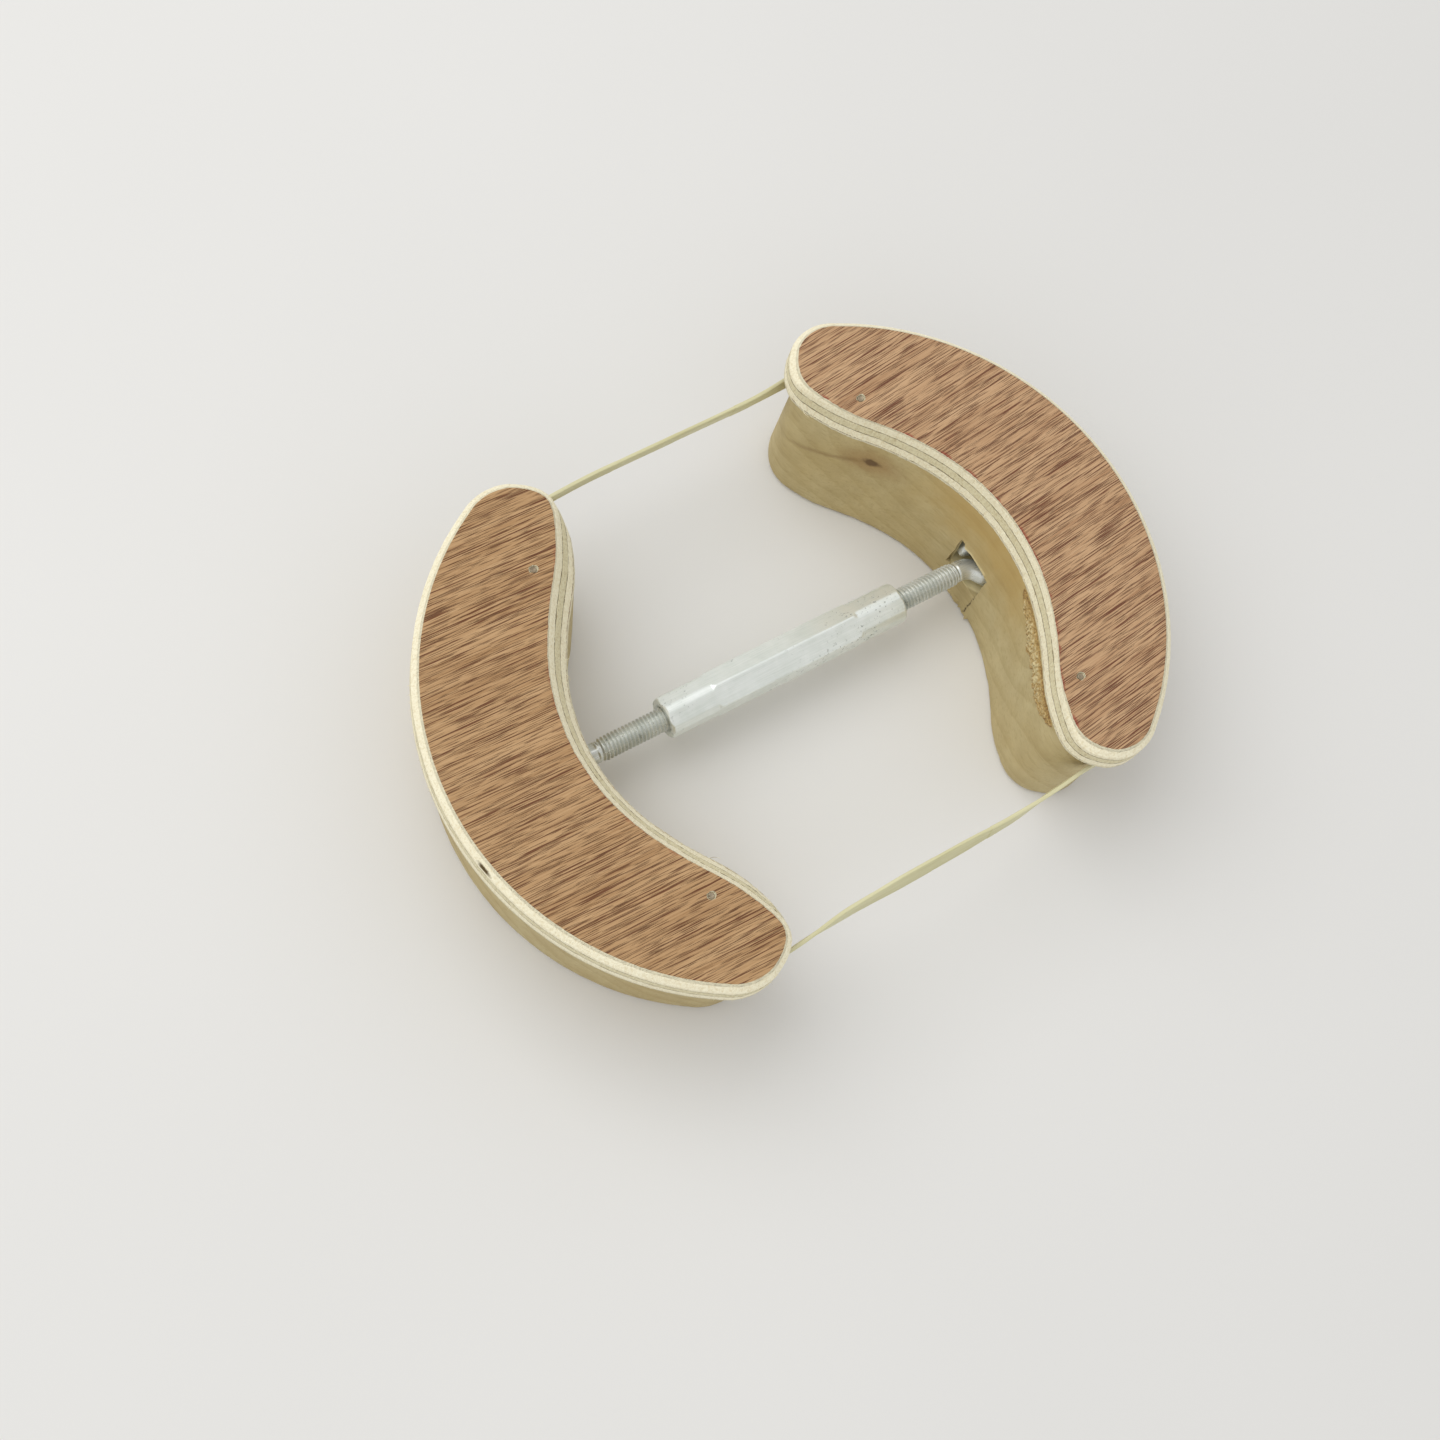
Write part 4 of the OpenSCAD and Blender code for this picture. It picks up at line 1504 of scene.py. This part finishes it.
@dataclass
class EyeRod:
    """A threaded rod whose bare end is bent into an open eye."""

    side: Side
    thread_start: float = 18.0
    thread_end: float = 52.0
    thread_r: float = 3.0
    thread_depth: float = 0.6
    pitch: float = 1.0
    per_pitch: int = 10
    wire_r: float = 2.65
    shoulder: Sequence[tuple[float, float]] = ((0.25, 0.22), (0.5, 0.04), (0.8, 0.0))
    neck_steps: int = 6
    bend_r: float = 5.4
    bend_steps: int = 12
    pin_x: float = 64.2
    eye_r: float = 6.1
    eye_shift: float = 0.85
    eye_gap: float = 42.0
    eye_steps: int = 60
    point: Sequence[tuple[float, float]] = ((0.7, 0.90), (1.3, 0.72), (1.9, 0.50), (2.4, 0.28), (2.6, 0.08))
    point_way: Triple = (-0.94, -0.34, 0.0)
    around: int = 36
    flats: Sequence[float] = ()
    flat_depth: float = 0.42

    @property
    def place(self) -> Matrix:
        """The rod's own frame, with X along the rod away from the sleeve, in metres."""
        turn = 0.0 if self.side is Side.RIGHT else math.pi
        return Matrix.Translation(joint_place("sleeve_turn") * MM) @ Matrix.Rotation(turn, 4, "Z")

    def build(self, palette: Palette) -> None:
        """Builds and dresses the rod.

        Args:
            palette: The finishes.
        """
        draft = Draft()
        rings = self._thread(draft)
        rings += [draft.ring(self._section(*station)) for station in self._wire()]
        draft.loft(rings)
        rod = draft.build(self.side.named("threaded_eye"), palette.zinc, self.place, 50.0)
        register(rod, self.side.named("rod"), Slot.ZINC, self.side.named("eye_rod"))

    def _thread(self, draft: Draft) -> list[list[int]]:
        """Rings of the thread, right-handed on the right rod and left-handed on the left.

        Args:
            draft: Where they are drawn.

        Returns:
            The rings.
        """
        rings = []
        steps = int((self.thread_end - self.thread_start) / self.pitch * self.per_pitch)
        root = self.thread_r - self.thread_depth
        for step in range(steps + 1):
            x = self.thread_start + step * self.pitch / self.per_pitch
            ends = held(min((x - self.thread_start) / 1.5, (self.thread_end + 0.6 - x) / 1.8))
            points = []
            for a in angles(self.around):
                phase = (x / self.pitch - self.side.value * a / TURN) % 1.0
                ridge = eased(held(1.25 * (1 - abs(2 * phase - 1)) - 0.06))
                wear = 1 - 0.06 * noise.noise(Vector((x * 0.8, math.cos(a) * 2, math.sin(a) * 2)))
                points.append(Vector((x, *polar(root + self.thread_depth * wear * ends * ridge, a))))
            rings.append(draft.ring(points))
        return rings

    def _wire(self) -> list[tuple[Vector, float, float]]:
        """The neck, the bend and the eye as middles, headings and radii.

        Returns:
            One entry for each ring.
        """
        bend_x = math.sqrt((self.eye_r + self.bend_r) ** 2 - self.bend_r ** 2)
        bend_angle = math.atan2(self.bend_r, bend_x)
        eye = Vector((self.pin_x - self.eye_shift, 0.0))
        neck_start, neck_end = self.thread_end + self.shoulder[-1][0], eye.x - bend_x
        necks = [(self.thread_end + along, self.wire_r - less) for along, less in self.shoulder]
        necks += [(neck_start + (neck_end - neck_start) * i / self.neck_steps, self.wire_r)
                  for i in range(1, self.neck_steps)]
        path = [(Vector((x, 0.0, 0.0)), 0.0, r) for x, r in necks]
        bend_middle = Vector((neck_end, -self.bend_r))
        for i in range(self.bend_steps + 1):
            a = -(math.pi / 2 - bend_angle) * i / self.bend_steps
            path.append((polar(self.bend_r, a + math.pi / 2, bend_middle).to_3d(), a, self.wire_r))
        sweep = TURN - math.radians(self.eye_gap) - bend_angle
        for i in range(1, self.eye_steps + 1):
            a = math.pi + bend_angle + sweep * i / self.eye_steps
            path.append((polar(self.eye_r, a, eye).to_3d(), a + math.pi / 2, self.wire_r))
        end, heading, _ = path[-1]
        path += [(end + Vector(self.point_way) * reach, heading, self.wire_r * share)
                 for reach, share in self.point]
        return path

    def _section(self, centre: Vector, heading: float, radius: float) -> Ring:
        """One ring of the wire, flattened where pliers held it.

        Args:
            centre: Middle of the ring.
            heading: Direction of the wire in the plane of the eye.
            radius: Radius of the wire.

        Returns:
            The ring.
        """
        aside = polar(1.0, heading + math.pi / 2).to_3d()
        grip = held((centre.x - self.thread_end - 0.4) / 0.5)
        points = []
        for a in angles(self.around):
            r = radius
            for flat in self.flats:
                facing = math.cos(a - flat)
                if facing > 0.5:
                    r = min(r, radius - (radius - min(radius, (radius - self.flat_depth) / facing)) * grip)
            points.append(centre + aside * (r * math.cos(a)) + UP * (r * math.sin(a)))
        return points


@dataclass
class Sleeve:
    """The hexagon sleeve, turned round at both ends and threaded through."""

    length: float = 68.0
    flats: float = 10.0
    turned_length: float = 13.0
    turned_over: float = 0.3
    taper_length: float = 4.0
    taper_steps: int = 12
    turn: float = 57.0
    bore_r: float = 3.1
    bore_mouth: Sequence[tuple[float, float]] = ((0.0, 0.75), (0.12, 0.62), (1.0, 0.0), (6.0, 0.0))
    corner_cut: float = 0.12
    chamfer: float = 0.45
    around: int = 144

    def build(self, palette: Palette) -> None:
        """Builds and dresses the sleeve.

        Args:
            palette: The finishes.
        """
        half, neck = self.length / 2, self.length / 2 - self.turned_length
        stations = [half, half - self.chamfer * 0.4, half - self.chamfer, half - 2.0, half - 6.0, neck + 0.6]
        stations += [neck - self.taper_length * i / self.taper_steps for i in range(self.taper_steps + 1)]
        stations += [neck - self.taper_length - 1.0, 8.0]
        stations = [-x for x in stations] + stations[::-1]
        bore = [(half - depth, self.bore_r + flare) for depth, flare in self.bore_mouth]
        bore += [(-x, r) for x, r in reversed(bore)]
        draft = Draft()
        rings = [draft.ring(self._outer_ring(x)) for x in stations]
        rings += [draft.ring([self._point(x, r, a) for a in angles(self.around)]) for x, r in bore]
        for lower, upper in zip(rings, rings[1:] + rings[:1]):
            draft.bridge(lower, upper)
        place = Matrix.Translation(joint_place("sleeve_turn") * MM)
        sleeve = draft.build("turned_hexagon_sleeve", palette.aluminium, place, 16.0)
        register(sleeve, "sleeve", Slot.ALUMINIUM, "turnbuckle_sleeve")

    @staticmethod
    def _point(x: float, radius: float, a: float) -> Vector:
        """A point at an angle round the axis."""
        return Vector((x, radius * math.sin(a), -radius * math.cos(a)))

    def _outer_ring(self, x: float) -> Ring:
        """The outside at one station: the hexagon where the turning tool left it.

        Args:
            x: The station along the axis.

        Returns:
            The ring.
        """
        from_end = self.length / 2 - abs(x)
        turned = self.flats / 2 + self.turned_over
        corner = self.flats / math.sqrt(3)
        if from_end < self.chamfer:
            limit = turned - (self.chamfer - from_end) * 0.8
        elif from_end <= self.turned_length:
            limit = turned - 0.02
        else:
            limit = turned + (corner + 1.0 - turned) * (from_end - self.turned_length) / self.taper_length
        points = []
        for a in angles(self.around):
            within = (a - math.radians(self.turn) + math.pi / 6) % (math.pi / 3) - math.pi / 6
            hexagon = (self.flats / 2) / math.cos(math.pi / 6 - abs(within))
            points.append(self._point(x, min(hexagon, limit, corner - self.corner_cut), a))
        return points


@dataclass
class Turnbuckle:
    """The sleeve and the two rods that it drives."""

    sleeve: Sleeve = field(default_factory=Sleeve)
    rods: Sequence[EyeRod] = field(
        default_factory=lambda: (EyeRod(Side.LEFT, flats=(0.95, 2.05)), EyeRod(Side.RIGHT)))

    def build(self, palette: Palette) -> None:
        """Builds and dresses the turnbuckle.

        Args:
            palette: The finishes.
        """
        self.sleeve.build(palette)
        for rod in self.rods:
            rod.build(palette)


@dataclass
class RubberBand:
    """The flat band round both blocks, in strips that overlap; those round the jaws ride on them."""

    jaws: dict[Side, Jaw]
    width: float = 6.5
    thickness: float = 1.0
    corner_r: float = 0.22
    base: float = 24.5
    clearance: float = 0.2
    upper_twist: Sequence[float] = (0.0, 9.0, 10.0, 10.0, 9.0, 0.0)
    lower_twist: Sequence[float] = (0.0, -6.0, 6.0, 13.0, 12.0, 4.0, -6.0, 0.0)
    step: float = 1.6
    lap: float = 2.0
    middle_lap: float = 0.6
    jaw_reach: float = 17.0
    rod_reach: float = 19.5
    rod_bend: tuple[float, float] = (22.5, -2.0)
    levelling: float = 0.8
    slip: float = 0.04

    @property
    def middle(self) -> float:
        """Where the spans are halved, along X."""
        return joint_place("sleeve_turn").x

    def build(self, palette: Palette) -> None:
        """Builds the overlapping strips: one round each jaw, riding on it, and the spans and middle pieces
        between them.

        Args:
            palette: The finishes.
        """
        spans = {up: self._span(up) for up in (1, -1)}
        for side in Side:
            jaw, rod = side.named("jaw"), side.named("rod")
            turned = self._strip(f"band_round_{jaw}", [self._round_jaw(side, spans)], 0.0, palette)
            register(turned, jaw, Slot.RUBBER, "rubber_band")
            end = self.middle + side.value * self.jaw_reach
            for up, where in ((1, "upper"), (-1, "lower")):
                start = spans[up][0 if side is Side.LEFT else 1].x
                path = self._straight(spans[up], start, end)
                piece = self._strip(f"band_{side.named(where)}_span", [path], self.slip, palette)
                self._bend(piece, (jaw, rod), start, end)
            ends = (self.middle + side.value * self.rod_reach, self.middle - side.value * self.middle_lap)
            paths = [self._straight(spans[up], *ends) for up in (1, -1)]
            slip = (2.5 + 0.5 * side.value) * self.slip
            piece = self._strip(f"band_{side.named('of_middle')}", paths, slip, palette)
            start, end = (self.middle + side.value * reach for reach in self.rod_bend)
            self._bend(piece, (rod, "band"), start, end)

    def _strip(self, name: str, paths: Sequence[Path], slip: float, palette: Palette) -> Piece:
        """One piece of the band.

        Args:
            name: Its name.
            paths: The paths that it follows.
            slip: How much smaller its section is.
            palette: The finishes.

        Returns:
            The piece.
        """
        draft = Draft()
        for path in paths:
            self._sweep(draft, path, slip)
        return draft.build(name, palette.rubber, crease=60.0)

    @staticmethod
    def _bend(piece: Piece, bodies: tuple[str, str], start: float, end: float) -> None:
        """Bakes a strip's place into its points and hides the band's node.

        Args:
            piece: The strip.
            bodies: The two bodies that the log names.
            start: Where it leaves the first body, along X; not used.
            end: Where it has come to the second; not used.
        """
        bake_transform(piece)
        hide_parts("rubber_band")
        log.info("%s bends between %s and %s", piece.name, *bodies)

    @staticmethod
    def _at(jaw: Jaw, x: float, y: float) -> Vector:
        """Turns a place in a jaw's own frame into one in the shared frame, in millimetres."""
        moved = jaw.place @ Vector((x * jaw.side.value * MM, y * MM, 0.0))
        return Vector((moved.x, moved.y)) / MM

    def _tip(self, side: Side, up: int) -> tuple[Vector, float]:
        """Finds a block's tip.

        Args:
            side: The jaw.
            up: 1 for the upper tip, -1 for the lower one.

        Returns:
            Its middle in the shared frame, and the radius of the band round it.
        """
        plan = self.jaws[side].block_plan()
        tip = plan.tip_place()
        middle = self._at(self.jaws[side], tip.x, up * tip.y + plan.middle_y)
        return middle, plan.tip + self.clearance + self.thickness / 2

    def _span(self, up: int) -> Span:
        """A straight span of the band.

        Args:
            up: 1 for the upper span, -1 for the lower one.

        Returns:
            Its left end, its right end and the way it faces.
        """
        (left, left_r), (right, right_r) = self._tip(Side.LEFT, up), self._tip(Side.RIGHT, up)
        way = (right - left).normalized()
        lean = (left_r - right_r) / (right - left).length
        facing = Vector((-way.y, way.x)) * up * math.sqrt(1 - lean * lean) + way * lean
        return left + facing * left_r, right + facing * right_r, facing

    def _straight(self, span: Span, start: float, end: float) -> Path:
        """Points of a span between two places along X.

        Args:
            span: The span.
            start: First place along X.
            end: Last place along X.

        Returns:
            Points with the way each faces and the twist there.
        """
        left, right, facing = span
        count = max(2, round(abs(end - start) / self.step))
        points = []
        for i in range(count + 1):
            x = start + (end - start) * i / count
            share = (x - left.x) / (right.x - left.x)
            point = left.lerp(right, share)
            point.y -= self._rise(span, x)
            points.append((point, facing, self._twist(share, facing.y > 0)))
        return points

    def _rise(self, span: Span, x: float) -> float:
        """The slope taken out of a span at one place, so that its halves stay in line as the rods move.

        Args:
            span: The span.
            x: The place along X.

        Returns:
            The rise that is taken out there; nothing at both ends of the span.
        """
        left, right, _ = span
        slope = self.levelling * (right.y - left.y) / (right.x - left.x)
        away = x - self.middle
        reach = math.copysign(self.rod_reach, away)
        if abs(away) <= self.rod_reach:
            return slope * away
        rest = (right.x if away > 0 else left.x) - self.middle - reach
        s = min(1.0, (away - reach) / rest)
        return slope * (reach * (2 * s ** 3 - 3 * s ** 2 + 1) + rest * (s ** 3 - 2 * s ** 2 + s))

    def _twist(self, share: float, is_upper: bool) -> float:
        """How far a span leans at one place.

        Args:
            share: The place, from 0 at the left end to 1 at the right.
            is_upper: Whether it is the upper span.

        Returns:
            The lean in radians.
        """
        leans = self.upper_twist if is_upper else self.lower_twist
        at = held(share) * (len(leans) - 1)
        number = min(int(at), len(leans) - 2)
        return math.radians(leans[number] + (leans[number + 1] - leans[number]) * eased(at - number))

    def _round_jaw(self, side: Side, spans: dict[int, Span]) -> Path:
        """Points of the band from one span, round a jaw, to the other span.

        Args:
            side: The jaw.
            spans: The two straight spans.

        Returns:
            Points with the way each faces and the twist there.
        """
        plan = self.jaws[side].block_plan()
        outer = self._at(self.jaws[side], plan.outer_x, plan.middle_y)
        radius = plan.outer + self.clearance + self.thickness / 2
        first = -side.value
        which = 0 if side is Side.LEFT else 1
        start, stop = spans[first][which].x, spans[-first][which].x
        near, far = (self._tip(side, up) for up in (first, -first))
        facings = [spans[first][2], near[0] - outer, far[0] - outer, spans[-first][2]]
        headings = [math.atan2(way.y, way.x) for way in facings]
        path = self._straight(spans[first], start - side.value * self.lap, start)
        for (middle, r), heading, following in zip((near, (outer, radius), far), headings, headings[1:]):
            sweep = (following - heading) % TURN
            count = max(3, round(sweep * r / self.step))
            for i in range(1, count + 1):
                facing = polar(1.0, heading + sweep * i / count)
                path.append((middle + facing * r, facing, 0.0))
        return path + self._straight(spans[-first], stop, stop - side.value * self.lap)[1:]

    def _sweep(self, draft: Draft, path: Path, slip: float) -> None:
        """Draws the band's section along a path.

        Args:
            draft: Where it is drawn.
            path: Points with the way each faces and the twist there.
            slip: How much smaller the section is, so that one strip hides in the next.
        """
        soft = self.corner_r
        deep, high = self.thickness / 2 - slip - soft, self.width / 2 - slip - soft
        section = []
        for corner, (x, y) in enumerate(((deep, high), (-deep, high), (-deep, -high), (deep, -high))):
            section += [polar(soft, math.pi / 2 * (corner + k / 3), Vector((x, y))) for k in range(4)]
        rings = []
        for point, facing, twist in path:
            out = Vector((facing.x * math.cos(twist), facing.y * math.cos(twist), math.sin(twist)))
            up = Vector((-facing.x * math.sin(twist), -facing.y * math.sin(twist), math.cos(twist)))
            waver = 0.10 * noise.noise(Vector((point.x * 0.12, point.y * 0.12, 1.0)))
            centre = Vector((point.x, point.y, self.base + self.width / 2 + waver))
            points = [centre + out * a + up * b for a, b in section]
            strips = [(point.x + point.y * 0.7, b, a) for a, b in section]
            rings.append(draft.ring(points, strips=strips))
        draft.loft(rings)


@dataclass
class Studio:
    """Floor, light and camera."""

    floor_colour: Colour = (232, 231, 228)
    floor_size: float = 4.0
    sky: float = 0.66
    key_power: float = 6.4
    key_size: float = 1.1
    key_place: Triple = (-0.35, 0.55, 1.05)
    fill_power: float = 1.6
    fill_size: float = 1.4
    fill_place: Triple = (-0.9, -0.6, 0.7)
    camera_place: Triple = (-0.17909, -0.10873, 0.510)
    camera_target: Triple = (-0.014076, -0.000867, 0.0)
    camera_roll: float = 28.14
    lens: float = 54.826
    sensor: float = 36.0
    clip_start: float = 0.01

    def build(self, effects: Effects) -> None:
        """Sets the view transform and builds the floor, the lights and the camera.

        Args:
            effects: The shared effects.
        """
        scene = bpy.context.scene
        scene.view_settings.view_transform = "Standard"
        self._floor(effects)
        self._sky(scene)
        self._lamp("key_light", self.key_place, self.key_size, self.key_power)
        self._lamp("fill_light", self.fill_place, self.fill_size, self.fill_power)
        self._camera(scene)

    def _floor(self, effects: Effects) -> None:
        """A plain pale floor under the blocks.

        Args:
            effects: The shared effects.
        """
        half = self.floor_size / 2
        corners = [(-half, -half, 0), (half, -half, 0), (half, half, 0), (-half, half, 0)]
        mesh = bpy.data.meshes.new("floor")
        mesh.from_pydata(corners, [], [(0, 1, 2, 3)])
        mesh.materials.append(FloorFinish(name="pale_floor", colour=self.floor_colour).material(effects))
        floor = bpy.data.objects.new("floor", mesh)
        bpy.context.scene.collection.objects.link(floor)

    def _sky(self, scene: bpy.types.Scene) -> None:
        """Even pale light from all round.

        Args:
            scene: The scene.
        """
        world = bpy.data.worlds.new("studio")
        world.use_nodes = True
        background = world.node_tree.nodes["Background"]
        background.inputs["Color"].default_value = (1.0, 1.0, 1.0, 1.0)
        background.inputs["Strength"].default_value = self.sky
        scene.world = world

    @staticmethod
    def _lamp(name: str, place: Triple, size: float, power: float) -> None:
        """A soft square lamp that faces the object.

        Args:
            name: The lamp's name.
            place: Where it hangs.
            size: Its side.
            power: Its power in watts.
        """
        data = bpy.data.lights.new(name, "AREA")
        data.size = size
        data.energy = power
        lamp = bpy.data.objects.new(name, data)
        lamp.location = place
        lamp.rotation_euler = (-Vector(place)).to_track_quat("-Z", "Y").to_euler()
        bpy.context.scene.collection.objects.link(lamp)

    def _camera(self, scene: bpy.types.Scene) -> None:
        """The camera at the photograph's viewing angle.

        Args:
            scene: The scene.
        """
        data = bpy.data.cameras.new("camera")
        data.lens = self.lens
        data.sensor_width = self.sensor
        data.clip_start = self.clip_start
        camera = bpy.data.objects.new("camera", data)
        place, target = Vector(self.camera_place), Vector(self.camera_target)
        aim = (target - place).to_track_quat("-Z", "Y").to_matrix().to_4x4()
        roll = Matrix.Rotation(math.radians(self.camera_roll), 4, "Z")
        camera.matrix_world = Matrix.Translation(place) @ aim @ roll
        scene.collection.objects.link(camera)
        scene.camera = camera


def main() -> None:
    """Builds the object's pieces in order, then the studio."""
    logging.basicConfig(level=logging.INFO, format="%(message)s")
    effects = Effects()
    palette = Palette(effects)
    jaws = {
        Side.LEFT: Jaw(Side.LEFT, offset=-4.5, pin_depth=4.8, cap_slope=5.5,
                       curls=((0.415, 2.2, 0.9), (0.40, 1.6, -0.7), (0.655, 3.0, 1.2))),
        Side.RIGHT: Jaw(Side.RIGHT, offset=1.8, pin_depth=7.4, cap_slope=1.3,
                        curls=((0.285, 3.2, 1.3), (0.30, 2.2, -1.0)), glue=True, torn_foot=True),
    }
    for jaw in jaws.values():
        jaw.build(palette)
    Turnbuckle().build(palette)
    RubberBand(jaws).build(palette)
    Studio().build(effects)


if __name__ == "__main__":
    main()
